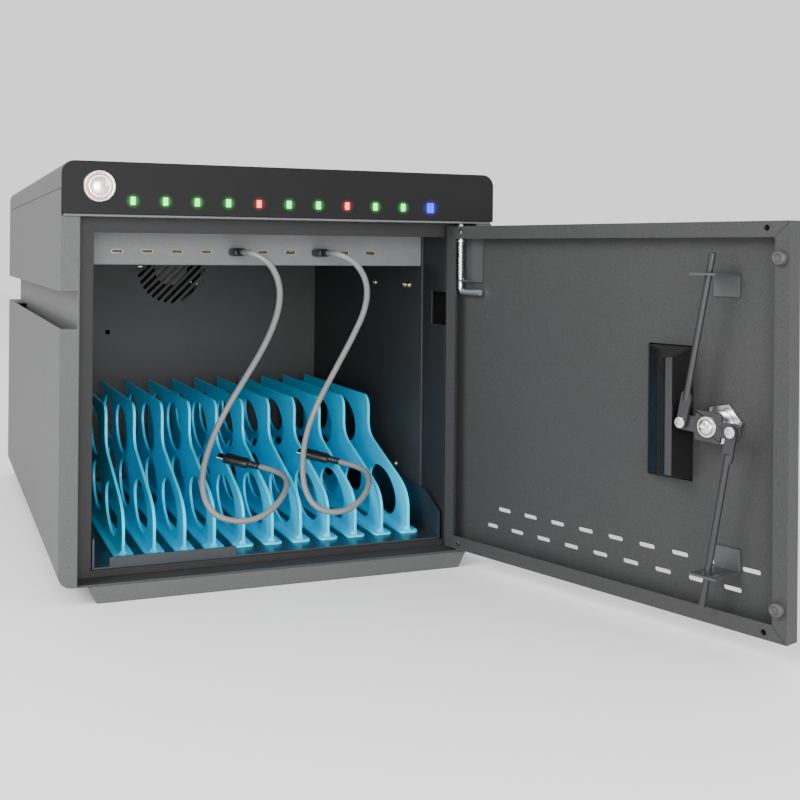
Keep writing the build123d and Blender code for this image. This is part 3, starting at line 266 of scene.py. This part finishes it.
def free_lead(name, points):
    """A lead as one smooth open spline with a round section."""
    curve = bpy.data.curves.new(name, "CURVE")
    curve.dimensions = "3D"
    spline = curve.splines.new("NURBS")
    spline.points.add(len(points) - 1)
    for spot, point in zip(spline.points, points):
        spot.co = (*here(point), 1)
    spline.order_u = 3
    spline.use_endpoint_u = True
    spline.resolution_u = 8
    curve.bevel_depth = lead_diameter / 2
    curve.bevel_resolution = 5
    curve.use_fill_caps = True
    curve.materials.append(jacket)
    lead = bpy.data.objects.new(name, curve)
    bpy.context.collection.objects.link(lead)
    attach(lead, "cabinet")
    return lead


# Plugs: black plastic moulded over the lead's end, with rounded ends, a shallow grip and a ribbed, tapered
# strain relief. One plug of each lead is in its port and the other is free; their shells are plated steel.
plug_plastic = finish("plug plastic", (0.014, 0.014, 0.015), 0.34, grain=2500, speckle=0.1, bump=0.15)
plug_width = 11.0


def rounded_ring(half_width, half_height, corner, steps=5):
    """Points around a rectangle with round corners."""
    ring = []
    for sx, sy, turn in ((1, 1, 0), (-1, 1, 90), (-1, -1, 180), (1, -1, 270)):
        for step in range(steps):
            angle = math.radians(turn + 90 * step / (steps - 1))
            ring.append((sx * (half_width - corner) + corner * math.cos(angle),
                         sy * (half_height - corner) + corner * math.sin(angle)))
    return ring


def lofted(mesh, stations, place, along, side, up):
    """A closed skin through rings: each station is a distance, half width, half height and corner."""
    rings = []
    for distance, half_width, half_height, corner in stations:
        centre = place + along * distance * mm
        ring = rounded_ring(half_width, half_height, corner)
        rings.append([mesh.verts.new(centre + side * x * mm + up * y * mm) for x, y in ring])
    for ring, following in zip(rings, rings[1:]):
        for index in range(len(ring)):
            after = (index + 1) % len(ring)
            mesh.faces.new((ring[index], ring[after], following[after], following[index]))
    mesh.faces.new(list(reversed(rings[0])))
    mesh.faces.new(rings[-1])


def plug_stations(relief, ribs):
    """Rings from the plug's front face to the lead: body with a waist, then the ribbed relief."""
    half_width, half_height = plug_width / 2, plug_height / 2
    stations = [(0, half_width - 0.7, half_height - 0.7, 2.0),
                (0.25, half_width - 0.2, half_height - 0.2, 2.5),
                (0.9, half_width, half_height, 2.6),
                (plug_length * 0.45, half_width, half_height, 2.6),
                (plug_length * 0.6, half_width - 0.35, half_height - 0.2, 2.6),
                (plug_length - 2.2, half_width - 0.1, half_height, 2.8),
                (plug_length - 0.5, half_width - 0.7, half_height - 0.4, 2.7),
                (plug_length, 3.3, 3.0, 2.9)]
    for rib in range(ribs):
        start = plug_length + 0.4 + rib * relief / ribs
        fade = 3.1 - 0.5 * rib / ribs
        stations += [(start, fade - 0.35, fade - 0.35, fade - 0.4), (start + 0.3, fade, fade, fade - 0.05),
                     (start + relief / ribs * 0.6, fade, fade, fade - 0.05),
                     (start + relief / ribs * 0.75, fade - 0.35, fade - 0.35, fade - 0.4)]
    stations.append((plug_length + relief, 2.55, 2.55, 2.5))
    return stations


def lead_plugs(name, port_x, shift):
    """Both plugs of a lead, made as one piece. The one in the port is a little shorter."""
    mesh = bmesh.new()
    shortened = 5.0
    scale = (plug_length - shortened) / plug_length
    port_face = 65.4
    port = [(distance * scale if distance <= plug_length else distance - shortened, *rest)
            for distance, *rest in plug_stations(relief_length + 1.0, 4)]
    lofted(mesh, port, here((port_x, port_face, port_height)), Vector((0, -1, 0)), Vector((1, 0, 0)),
           Vector((0, 0, 1)))
    side = plug_up.cross(plug_tip)
    start = here(free_plug_place(shift) + plug_tip * plug_length / 2)
    lofted(mesh, plug_stations(relief_length, 4), start, -plug_tip, side, plug_up)
    bmesh.ops.recalc_face_normals(mesh, faces=mesh.faces)
    data = bpy.data.meshes.new(name)
    mesh.to_mesh(data)
    mesh.free()
    data.shade_smooth()
    piece = add_piece(name, data, plug_plastic, "cabinet")
    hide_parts(name)
    return piece


plug_metal = finish("plug shell", (0.72, 0.72, 0.73), 0.22, metallic=1, grain=2200, speckle=0.03, bump=0.05)
for name in ("lead_a", "lead_b"):
    lead = free_lead(f"{name}_jacket", lead_routes[name])
    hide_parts(f"{name}_cable")
    plugs = lead_plugs(f"{name}_plugs", lead_ports[name], lead_shifts[name])
    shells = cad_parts[f"{name}_shells"]
    shells.material_slots[0].material = plug_metal


# Case: side boxes, top cover, rear panel and plinth, bent from 1.5 mm sheet and powder-coated grey.
# Each folded edge has the small radius of a real bend.
case_grey = finish("case powder coat", (0.062, 0.0632, 0.064), 0.55, grain=800, speckle=0.24, clouding=0.05,
                   bump=0.5, relief=0.0003, specular=0.35)
case_bend = 0.9 * mm


def folded(node, paint, body, bend, angle=32, shape=None):
    """A piece made from a CAD node: facets joined, edges past the angle rounded by the bend, then shaded.

    The shape is a function that moves a point of the node, for a form that is only in the dressing.
    """
    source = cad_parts[node]
    mesh = bmesh.new()
    mesh.from_mesh(source.data)
    mesh.transform(source.matrix_world)
    bmesh.ops.remove_doubles(mesh, verts=mesh.verts, dist=0.004 * mm)
    for vert in mesh.verts if shape else ():
        vert.co = shape(vert.co)
    bmesh.ops.dissolve_limit(mesh, angle_limit=math.radians(0.6), verts=mesh.verts, edges=mesh.edges)
    data = bpy.data.meshes.new(node)
    mesh.to_mesh(data)
    mesh.free()
    data.shade_smooth()
    piece = add_piece(f"{node}_skin", data, paint, body)
    if bend:
        bevel = piece.modifiers.new("bend", "BEVEL")
        bevel.width = bend
        bevel.segments = 3
        bevel.limit_method = "ANGLE"
        bevel.angle_limit = math.radians(angle)
        bevel.use_clamp_overlap = True
        steady = piece.modifiers.new("flat faces", "WEIGHTED_NORMAL")
        steady.keep_sharp = True
        steady.weight = 80
        rounded = piece.evaluated_get(bpy.context.evaluated_depsgraph_get())
        baked = bpy.data.meshes.new_from_object(rounded)
        piece.modifiers.clear()
        piece.data = baked
    else:
        data.set_sharp_from_angle(angle=math.radians(angle + 8))
    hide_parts(node)
    return piece


for node in ("left_side", "right_side", "top_cover"):
    folded(node, case_grey, "cabinet", case_bend)
folded("rear_panel", case_grey, "cabinet", 0.0)
folded("base_pan", case_grey, "cabinet", case_bend)


# Front frame and right jamb that the door shuts against: 1.5 mm sheet in the same powder coat as the case,
# fixed between the side boxes. Its colour is set far darker than the case's, as painted shade for the shadow
# on the frame and the jamb.
frame_grey_and_painted_shade = finish("frame powder coat and painted shade", (0.016, 0.016, 0.017), 0.55, grain=1300, speckle=0.2, bump=0.3,
                    relief=0.0002, specular=0.25)
# Painted shade: the frame and jamb are darkened in their colour, not by the lights.
for node in ("front_frame", "right_jamb"):
    folded(node, frame_grey_and_painted_shade, "cabinet", 0.35 * mm)


# Lining of the cavity: plain steel sheets in a darker satin paint, held by small plated screws. The back
# sheet has the slots of the fan's grille cut in it.
liner_dark = finish("liner paint", (0.030, 0.0305, 0.031), 0.5, grain=1100, speckle=0.16, clouding=0.1,
                    bump=0.25, specular=0.35)
for node in ("left_liner", "right_liner", "back_wall", "ceiling", "cabinet_floor", "tray_supports"):
    folded(node, liner_dark, "cabinet", 0.3 * mm)


# Head tray and port panel: sheet in a lighter grey above the cavity. The tray closes the head from below,
# and the lower edge of the port panel is folded back.
head_grey = finish("head paint", (0.135, 0.137, 0.14), 0.5, grain=1300, speckle=0.2, bump=0.3,
                   relief=0.0002, specular=0.3)
folded("head_tray", head_grey, "cabinet", 0.5 * mm)
folded("port_panel", head_grey, "cabinet", 0.3 * mm)


# Tray that the fins stand in: dark blue-grey painted sheet, folded up at the sides and the back, with a
# raised lip at the left of its front edge. It stands on rails on the cabinet's floor.
tray_blue = finish("tray paint", (0.017, 0.023, 0.028), 0.3, grain=1200, speckle=0.1, clouding=0.1,
                   bump=0.15)
folded("tray", tray_blue, "cabinet", 0.4 * mm)


# Divider fins: eleven of them in bright blue moulded plastic, glossy, with soft edges that catch the light.
# Each is moulded in one with its foot, which stands on the tray.
divider_blue = finish("divider plastic", (0.014, 0.68, 1.0), 0.3, grain=700, speckle=0.03, clouding=0.05,
                      bump=0.05, coat=0.3)
divider_shader = divider_blue.node_tree.nodes["Principled BSDF"]
divider_shader.inputs["Subsurface Weight"].default_value = 0.15
divider_shader.inputs["Subsurface Radius"].default_value = (0.001, 0.004, 0.006)
for number in range(1, 12, 2):
    folded(f"dividers_{number:02d}", divider_blue, "cabinet", 0.55 * mm)


# Bezel: satin black moulded front over the head of the cabinet, with round corners and a window for each
# light. Around each window a painted glow, emission on the plastic, stands in for the light the window spills
# onto it.
cabinet_height = 326
bezel_face = -3
first_light = 51.4
light_pitch = 24.1
light_z = cabinet_height - 28.7
green = (0.05, 1.0, 0.10)
red = (1.0, 0.03, 0.03)
blue = (0.03, 0.06, 1.0)
light_colors = [red if number in (4, 7) else green for number in range(10)] + [blue]
bezel_black_and_painted_glow = finish("bezel plastic and painted glow", (0.0075, 0.0076, 0.0078), 0.5, grain=500, speckle=0.03, clouding=0.04,
                     bump=0.04, specular=0.12)


def paint_light_spill(paint, reach, strength):
    """Painted light on the bezel: emission that fades with the distance from each light, for the glow the
    lights spill onto the plastic.
    """
    nodes, links = paint.node_tree.nodes, paint.node_tree.links
    shader = nodes["Principled BSDF"]
    place = nodes.new("ShaderNodeTexCoord")
    total = None
    for number, color in enumerate(light_colors):
        spot = here((first_light + number * light_pitch, bezel_face, light_z))
        offset = nodes.new("ShaderNodeVectorMath")
        offset.operation = "DISTANCE"
        offset.inputs[1].default_value = spot
        links.new(place.outputs["Object"], offset.inputs[0])
        fade = nodes.new("ShaderNodeMapRange")
        fade.interpolation_type = "SMOOTHERSTEP"
        fade.inputs["From Min"].default_value = reach * (1.35 if color == blue else 1.0)
        fade.inputs["From Max"].default_value = 0.0
        links.new(offset.outputs["Value"], fade.inputs["Value"])
        scaled_colour = nodes.new("ShaderNodeVectorMath")
        scaled_colour.operation = "SCALE"
        scaled_colour.inputs[0].default_value = color
        links.new(fade.outputs["Result"], scaled_colour.inputs["Scale"])
        if total is None:
            total = scaled_colour
            continue
        both = nodes.new("ShaderNodeVectorMath")
        links.new(total.outputs[0], both.inputs[0])
        links.new(scaled_colour.outputs[0], both.inputs[1])
        total = both
    links.new(total.outputs[0], shader.inputs["Emission Color"])
    shader.inputs["Emission Strength"].default_value = strength


# Painted glow: emission on the bezel plastic around each light window.
paint_light_spill(bezel_black_and_painted_glow, 6.6 * mm, 0.55)
folded("bezel", bezel_black_and_painted_glow, "cabinet", 0.35 * mm, angle=40)


# Light pipes: clear moulded rods pressed through the bezel and lit from the board behind, one for each port
# and a larger one for the power.
def lit(name, color, strength):
    """Glowing plastic of a light pipe."""
    paint = finish(name, color, 0.3, grain=600, speckle=0.05)
    shader = paint.node_tree.nodes["Principled BSDF"]
    shader.inputs["Emission Color"].default_value = (*color, 1)
    shader.inputs["Emission Strength"].default_value = strength
    return paint


folded("green_lights", lit("green light", (0.16, 0.95, 0.20), 1.15), "cabinet", 0.3 * mm)
folded("red_lights", lit("red light", (1.0, 0.14, 0.12), 1.2), "cabinet", 0.3 * mm)
folded("blue_light", lit("blue light", (0.015, 0.02, 0.95), 0.7), "cabinet", 0.3 * mm)


# Circuit boards behind the bezel and the port panel, lacquered green and held on plated posts. The port
# board carries ten sockets, each with a folded steel mouth and a black tongue in it.
board_green = finish("board lacquer", (0.015, 0.11, 0.045), 0.35, grain=400, speckle=0.3, clouding=0.2)
for node in ("status_board", "port_board"):
    folded(node, board_green, "cabinet", 0.15 * mm)
plated = finish("bright plate", (0.70, 0.69, 0.66), 0.25, metallic=1, grain=1500, speckle=0.06, bump=0.1)
folded("board_posts", plated, "cabinet", 0.2 * mm)
warm_plate = finish("warm plate", (0.62, 0.53, 0.36), 0.3, metallic=1, grain=1500, speckle=0.1, bump=0.1)
folded("port_sockets", warm_plate, "cabinet", 0.12 * mm)
socket_core = finish("socket core", (0.012, 0.012, 0.012), 0.5, grain=2500)
first_port = 50.5
port_pitch = 24
core_face = 66.6
ports_in_use = (4, 7)
core_block = [(0, 4.05, 1.15, 1.1), (3.0, 4.05, 1.15, 1.1)]
core_tongue = [(-0.5, 3.3, 0.35, 0.1), (0.2, 3.3, 0.35, 0.1)]
cores = bmesh.new()
for number in range(10):
    if number in ports_in_use:
        continue
    port_centre = here((first_port + number * port_pitch, core_face, port_height))
    for stations in (core_block, core_tongue):
        lofted(cores, stations, port_centre, Vector((0, 1, 0)), Vector((-1, 0, 0)), Vector((0, 0, 1)))
bmesh.ops.recalc_face_normals(cores, faces=cores.faces)
core_mesh = bpy.data.meshes.new("socket_cores")
cores.to_mesh(core_mesh)
cores.free()
add_piece("socket_cores", core_mesh, socket_core, "cabinet")


# Power button: a bright turned steel ring around a warm light ring and a domed cap that is pressed in. A
# nut clamps it from behind.
button_centre = here((27, bezel_face, cabinet_height - 18.5))


def turned(name, profile, centre, axis, paint, body, steps=72):
    """A lathe-turned piece: the profile's points are a radius and a height along the axis, in millimetres."""
    mesh = bmesh.new()
    across_axis = axis.orthogonal().normalized()
    ring = [mesh.verts.new(centre + across_axis * radius * mm + axis * height * mm)
            for radius, height in profile]
    edges = [mesh.edges.new(pair) for pair in zip(ring, ring[1:])]
    bmesh.ops.spin(mesh, geom=ring + edges, cent=centre, axis=axis, angle=2 * math.pi, steps=steps,
                   use_merge=True)
    bmesh.ops.remove_doubles(mesh, verts=mesh.verts, dist=0.002 * mm)
    bmesh.ops.recalc_face_normals(mesh, faces=mesh.faces)
    data = bpy.data.meshes.new(name)
    mesh.to_mesh(data)
    mesh.free()
    data.shade_smooth()
    data.set_sharp_from_angle(angle=math.radians(35))
    return add_piece(name, data, paint, body)


front_axis = Vector((0, -1, 0))
ring_steel = finish("turned ring", (0.78, 0.77, 0.75), 0.16, metallic=1, grain=900, speckle=0.03, bump=0.03)
ring = turned("button_ring", [
    (9.5, -16), (9.5, 0), (12.25, 0), (12.25, 0.5), (12.0, 0.9), (11.3, 2.0), (11.1, 2.2), (10.8, 2.2),
    (10.6, 2.0), (10.5, 0.5), (9.9, 0.4), (9.8, 0.4), (8.8, 0.4), (8.8, -14), (0.0, -14), (0.0, -16),
    (9.5, -16)],
    button_centre, front_axis, ring_steel, "cabinet")
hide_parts("button_body")
warm_ring = lit("warm light ring", (0.62, 0.40, 0.28), 0.16)
turned("button_light_ring", [
    (8.85, 0.4), (10.0, 0.4), (10.0, 1.5), (9.8, 1.9), (9.2, 2.0), (8.85, 1.8), (8.85, 0.4)],
    button_centre, front_axis, warm_ring, "cabinet")
cap_steel = finish("cap steel", (0.80, 0.79, 0.76), 0.24, metallic=1, grain=700, speckle=0.04, bump=0.04)
cap = turned("button_dome", [
    (0.0, -9), (8.5, -9), (8.5, 2.2), (8.35, 2.5), (8.0, 2.65), (7.4, 2.6), (7.1, 2.35), (6.8, 2.3),
    (6.5, 2.5), (5.0, 2.95), (3.4, 3.25), (1.7, 3.42), (0.0, 3.5)],
    button_centre, front_axis, cap_steel, "button")
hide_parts("button_cap")
folded("button_nut", plated, "cabinet", 0.3 * mm)


# Door: a tray of folded 1.5 mm sheet, powder-coated, that stands open at 108 degrees. Two rows of vents and
# the cut-outs for pull and lock are punched in its skin.
door_grey = finish("door powder coat", (0.030, 0.0303, 0.0307), 0.52, grain=800, speckle=0.22,
                   clouding=0.06, bump=0.5, relief=0.0003, specular=0.3)
folded("door_panel", door_grey, "door", 0.35 * mm)

open_angle = math.radians(108)
hinge_inset = 9.0
hinge_depth = 5.6
hinge_line = here((324, hinge_depth, 0))
door_along = Vector((-math.cos(open_angle), -math.sin(open_angle), 0))
door_inward = Vector((-math.sin(open_angle), math.cos(open_angle), 0))
door_corner = hinge_line - door_along * hinge_inset * mm - door_inward * hinge_depth * mm


def on_door(along, up, inward):
    """A point on the door: millimetres from the hinge edge, from the base and in from the skin."""
    return door_corner + door_along * along * mm + Vector((0, 0, up * mm)) + door_inward * inward * mm


# Mitred corners of the door's lips: the folded sheets meet at 45 degrees, and the joint shows as a dark seam
# from the lip's inner corner out to the door's corner.
seam_dark = finish("seam shadow", (0.004, 0.004, 0.004), 0.8)
door_lip_face = 13.0
seam_reach = 9.6
half_seam = 0.2 * mm
seams = bmesh.new()
for along, toward in ((0.6, 1), (315.4, -1)):
    for up, rise in ((16.6, 1), (282.4, -1)):
        outer = on_door(along, up, door_lip_face)
        inner = on_door(along + toward * seam_reach, up + rise * seam_reach, door_lip_face)
        run = (inner - outer).normalized()
        across_run = run.cross(door_inward)
        corners = [outer + across_run * half_seam, outer - across_run * half_seam,
                   inner - across_run * half_seam, inner + across_run * half_seam]
        low = [seams.verts.new(corner - door_inward * 0.3 * mm) for corner in corners]
        high = [seams.verts.new(corner + door_inward * 0.05 * mm) for corner in corners]
        seams.faces.new(list(reversed(low)))
        seams.faces.new(high)
        for index in range(4):
            after = (index + 1) % 4
            seams.faces.new((low[index], low[after], high[after], high[index]))
bmesh.ops.recalc_face_normals(seams, faces=seams.faces)
seam_mesh = bpy.data.meshes.new("lip_seams")
seams.to_mesh(seam_mesh)
seams.free()
add_piece("lip_seams", seam_mesh, seam_dark, "door")


# Bumpers: grey rubber buttons with a dimple, pressed on the lip at the door's free side, one high and one
# low. They soften the stop against the frame.
rubber = finish("bumper rubber", (0.040, 0.040, 0.041), 0.55, grain=1800, speckle=0.1)
door_width = 316
bumper_along = door_width - 6.2
bumper_heights = (259.2, 37.7)
bumper_profile = [(0.0, 0.05), (4.6, 0.05), (4.6, 3.2), (4.3, 4.1), (3.6, 4.6), (2.9, 4.6), (2.5, 4.2),
                  (2.2, 3.6), (0.0, 3.4)]
for number, up in enumerate(bumper_heights):
    bumper = turned(f"bumper_{number + 1}", bumper_profile, on_door(bumper_along, up, door_lip_face),
                    door_inward, rubber, "door", steps=40)
    if number == 0:
        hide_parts("door_bumpers")


# Recessed pull: a glossy black moulded cup, set into the door from outside. Its back rises from the hinge
# side in an S to a high crest, and its ends lean in as they rise.
pull_black = finish("pull plastic", (0.007, 0.007, 0.007), 0.17, grain=500, speckle=0.05, clouding=0.02,
                    bump=0.02)
cup_middle = 152.0
cup_straight = 35
cup_end_slope = 0.28
cup_flank = 2.5


def sloped_end(point):
    """The point moved so that the cup's ends lean towards its middle as they rise off the door."""
    rise = (point - door_corner).dot(door_inward) / mm - cup_flank
    away = point.z / mm - cup_middle
    if rise <= 0 or abs(away) < cup_straight:
        return point
    return point - Vector((0, 0, math.copysign(cup_end_slope * rise * mm, away)))


folded("pull_cup", pull_black, "door", 0.7 * mm, angle=28, shape=sloped_end)


# Lock gear on the inner side of the door: a zinc cylinder clamped by its nut, a flat cam on its end, and a
# blackened rod pinned at each end of the cam. The rods slide through painted steel brackets.
lock_zinc = finish("lock plate", (0.60, 0.60, 0.61), 0.24, metallic=1, grain=1100, speckle=0.08, bump=0.1)
rod_black = finish("blackened steel", (0.030, 0.030, 0.032), 0.33, metallic=0.4, grain=900, speckle=0.15,
                   bump=0.15)
bracket_grey = finish("bracket paint", (0.042, 0.043, 0.044), 0.42, grain=1200, speckle=0.15, bump=0.25)
for node in ("lock_cylinder", "lock_nut"):
    folded(node, lock_zinc, "door", 0.3 * mm)
folded("lock_cam", rod_black, "cam", 0.3 * mm)
folded("upper_rod", rod_black, "rod_up", 0.25 * mm)
folded("lower_rod", rod_black, "rod_down", 0.25 * mm)
for node in ("rod_guides", "hinge_bracket"):
    folded(node, bracket_grey, "door", 0.25 * mm)


# Screw and pin heads: domed and plated, with a cross recess pressed in the top. The lining's screws, the two
# rod pins and the cam's screw all have one; each is shaped once and set out on its places.
def cross_head(radius, height, slot_width):
    """A domed head with a cross recess, its foot at the origin and its top along +Z."""
    mesh = bmesh.new()
    profile = [(0.0, 0.0), (radius, 0.0), (radius, height * 0.45), (radius * 0.93, height * 0.75),
               (radius * 0.72, height * 0.95), (0.0, height)]
    ring = [mesh.verts.new((x * mm, 0, z * mm)) for x, z in profile]
    edges = [mesh.edges.new(pair) for pair in zip(ring, ring[1:])]
    bmesh.ops.spin(mesh, geom=ring + edges, cent=(0, 0, 0), axis=(0, 0, 1), angle=2 * math.pi, steps=40,
                   use_merge=True)
    bmesh.ops.remove_doubles(mesh, verts=mesh.verts, dist=0.002 * mm)
    bmesh.ops.recalc_face_normals(mesh, faces=mesh.faces)
    data = bpy.data.meshes.new("head")
    mesh.to_mesh(data)
    mesh.free()
    head = bpy.data.objects.new("head", data)
    bpy.context.collection.objects.link(head)
    cutter_mesh = bmesh.new()
    for turn in (0, 90):
        arm = bmesh.ops.create_cube(cutter_mesh, size=1)["verts"]
        bmesh.ops.scale(cutter_mesh, vec=(radius * 1.15 * mm, slot_width * mm, height * mm), verts=arm)
        quarter = Matrix.Rotation(math.radians(turn), 3, "Z")
        bmesh.ops.rotate(cutter_mesh, cent=(0, 0, 0), matrix=quarter, verts=arm)
        bmesh.ops.translate(cutter_mesh, vec=(0, 0, height * mm), verts=arm)
    cutter_data = bpy.data.meshes.new("cross")
    cutter_mesh.to_mesh(cutter_data)
    cutter_mesh.free()
    cutter = bpy.data.objects.new("cross", cutter_data)
    bpy.context.collection.objects.link(cutter)
    cut = head.modifiers.new("recess", "BOOLEAN")
    cut.object = cutter
    cut.solver = "EXACT"
    cut.use_self = True
    cut_head = head.evaluated_get(bpy.context.evaluated_depsgraph_get())
    shaped = bpy.data.meshes.new_from_object(cut_head)
    bpy.data.objects.remove(head)
    bpy.data.objects.remove(cutter)
    shaped.shade_smooth()
    shaped.set_sharp_from_angle(angle=math.radians(40))
    return shaped


def heads_tree():
    """Geometry nodes that set a head on each point, turned to face the point's direction."""
    tree = bpy.data.node_groups.new("heads on points", "GeometryNodeTree")
    for socket, side, kind in (("Places", "INPUT", "Geometry"), ("Head", "INPUT", "Object"),
                               ("Paint", "INPUT", "Material"), ("Heads", "OUTPUT", "Geometry")):
        tree.interface.new_socket(name=socket, in_out=side, socket_type=f"NodeSocket{kind}")
    nodes, links = tree.nodes, tree.links
    given = nodes.new("NodeGroupInput")
    result = nodes.new("NodeGroupOutput")
    head = nodes.new("GeometryNodeObjectInfo")
    facing = nodes.new("GeometryNodeInputNamedAttribute")
    facing.data_type = "FLOAT_VECTOR"
    facing.inputs["Name"].default_value = "facing"
    aligned = nodes.new("FunctionNodeAlignRotationToVector")
    aligned.axis = "Z"
    set_out = nodes.new("GeometryNodeInstanceOnPoints")
    real = nodes.new("GeometryNodeRealizeInstances")
    painted = nodes.new("GeometryNodeSetMaterial")
    links.new(given.outputs["Head"], head.inputs["Object"])
    links.new(given.outputs["Places"], set_out.inputs["Points"])
    links.new(head.outputs["Geometry"], set_out.inputs["Instance"])
    links.new(facing.outputs["Attribute"], aligned.inputs["Vector"])
    links.new(aligned.outputs["Rotation"], set_out.inputs["Rotation"])
    links.new(set_out.outputs["Instances"], real.inputs["Geometry"])
    links.new(real.outputs["Geometry"], painted.inputs["Geometry"])
    links.new(given.outputs["Paint"], painted.inputs["Material"])
    links.new(painted.outputs["Geometry"], result.inputs["Heads"])
    return tree


set_heads = heads_tree()


def heads_on(name, places, head_mesh, paint, body):
    """Heads on the places, each a point and the direction it faces, as one piece."""
    head = bpy.data.objects.new("head pattern", head_mesh)
    bpy.context.collection.objects.link(head)
    points = bpy.data.meshes.new(name)
    points.from_pydata([point for point, _ in places], [], [])
    facing = points.attributes.new("facing", "FLOAT_VECTOR", "POINT")
    for index, (_, direction) in enumerate(places):
        facing.data[index].vector = direction
    holder = bpy.data.objects.new(name, points)
    bpy.context.collection.objects.link(holder)
    modifier = holder.modifiers.new("heads", "NODES")
    modifier.node_group = set_heads
    sockets = {item.name: item.identifier for item in set_heads.interface.items_tree
               if item.in_out == "INPUT"}
    modifier[sockets["Head"]] = head
    modifier[sockets["Paint"]] = paint
    set_out = holder.evaluated_get(bpy.context.evaluated_depsgraph_get())
    shaped = bpy.data.meshes.new_from_object(set_out)
    bpy.data.objects.remove(holder)
    bpy.data.objects.remove(head)
    shaped.set_sharp_from_angle(angle=math.radians(40))
    return add_piece(name, shaped, paint, body)


left_wall = 26
right_wall = 314.5
liner_places = []
for wall, side, y, z in ((left_wall, 1, 78, 238), (right_wall, -1, 92, 232), (right_wall, -1, 101, 232),
                         (right_wall, -1, 176, 232), (right_wall, -1, 120, 66), (left_wall, 1, 300, 66)):
    liner_places.append((here((wall, y, z)), Vector((side, 0, 0))))
screws = heads_on("liner_screw_heads", liner_places, cross_head(3.0, 2.0, 0.8), warm_plate,
                  "cabinet")
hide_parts("liner_screws")

lock_place = (263.5, 148.0)
pin_radius = 19.2
pin_tilt = math.radians(-3)
cam_height = 21.0
pin_places = []
for side in (-1, 1):
    pin_along = lock_place[0] + side * pin_radius * math.cos(pin_tilt)
    pin_up = lock_place[1] + side * pin_radius * math.sin(pin_tilt)
    pin_places.append((on_door(pin_along, pin_up, cam_height + 4.4), door_inward))
folded("rod_rivets", lock_zinc, "cam", 0.15 * mm)
heads_on("pin_heads", pin_places, cross_head(3.6, 2.0, 0.9), plated, "cam")
cam_screw = heads_on("lock_screw", [(on_door(*lock_place, cam_height + 1.9), door_inward)],
                     cross_head(5.3, 4.2, 1.9), plated, "cam")
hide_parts("cam_screw")
turned("lock_washer", [
    (0.0, 0.0), (7.0, 0.0), (7.0, 1.2), (6.7, 1.6), (5.9, 1.6), (5.6, 1.0), (0.0, 1.0), (0.0, 0.0)],
    on_door(*lock_place, cam_height + 2.05), door_inward, plated, "cam")


# Hinge at the top of the door: a bent, plated pin pushed up through its bracket by a coil spring. Drawn
# down 12 mm by its handle, it frees the door, and the spring shortens under it.
pin_plate = finish("pin plate", (0.80, 0.81, 0.83), 0.36, metallic=1, grain=900, speckle=0.04, bump=0.04)
folded("hinge_pin", pin_plate, "door_pin", 0.0)
spring_wire = finish("spring wire", (0.66, 0.67, 0.69), 0.2, metallic=1, grain=1500, speckle=0.05)
spring = folded("hinge_spring", spring_wire, "door", 0.0, angle=60)
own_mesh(spring)
folded("lower_hinge_pin", plated, "cabinet", 0.25 * mm)


# Rear compartment: a moulded mains inlet snapped into the rear panel, a power supply in a folded steel case,
# and a moulded fan that draws air from the cavity through the grille.
inlet_black = finish("inlet plastic", (0.015, 0.015, 0.016), 0.4, grain=1600, speckle=0.1)
folded("mains_inlet", inlet_black, "cabinet", 0.4 * mm)
supply_metal = finish("supply case", (0.5, 0.51, 0.52), 0.36, metallic=1, grain=300, speckle=0.12,
                      clouding=0.1)
folded("power_supply", supply_metal, "cabinet", 0.5 * mm)
fan_black = finish("fan plastic", (0.012, 0.012, 0.013), 0.4, grain=1400, speckle=0.1)
folded("fan_frame", fan_black, "cabinet", 0.3 * mm)
folded("fan_rotor", fan_black, "fan_wheel", 0.25 * mm)
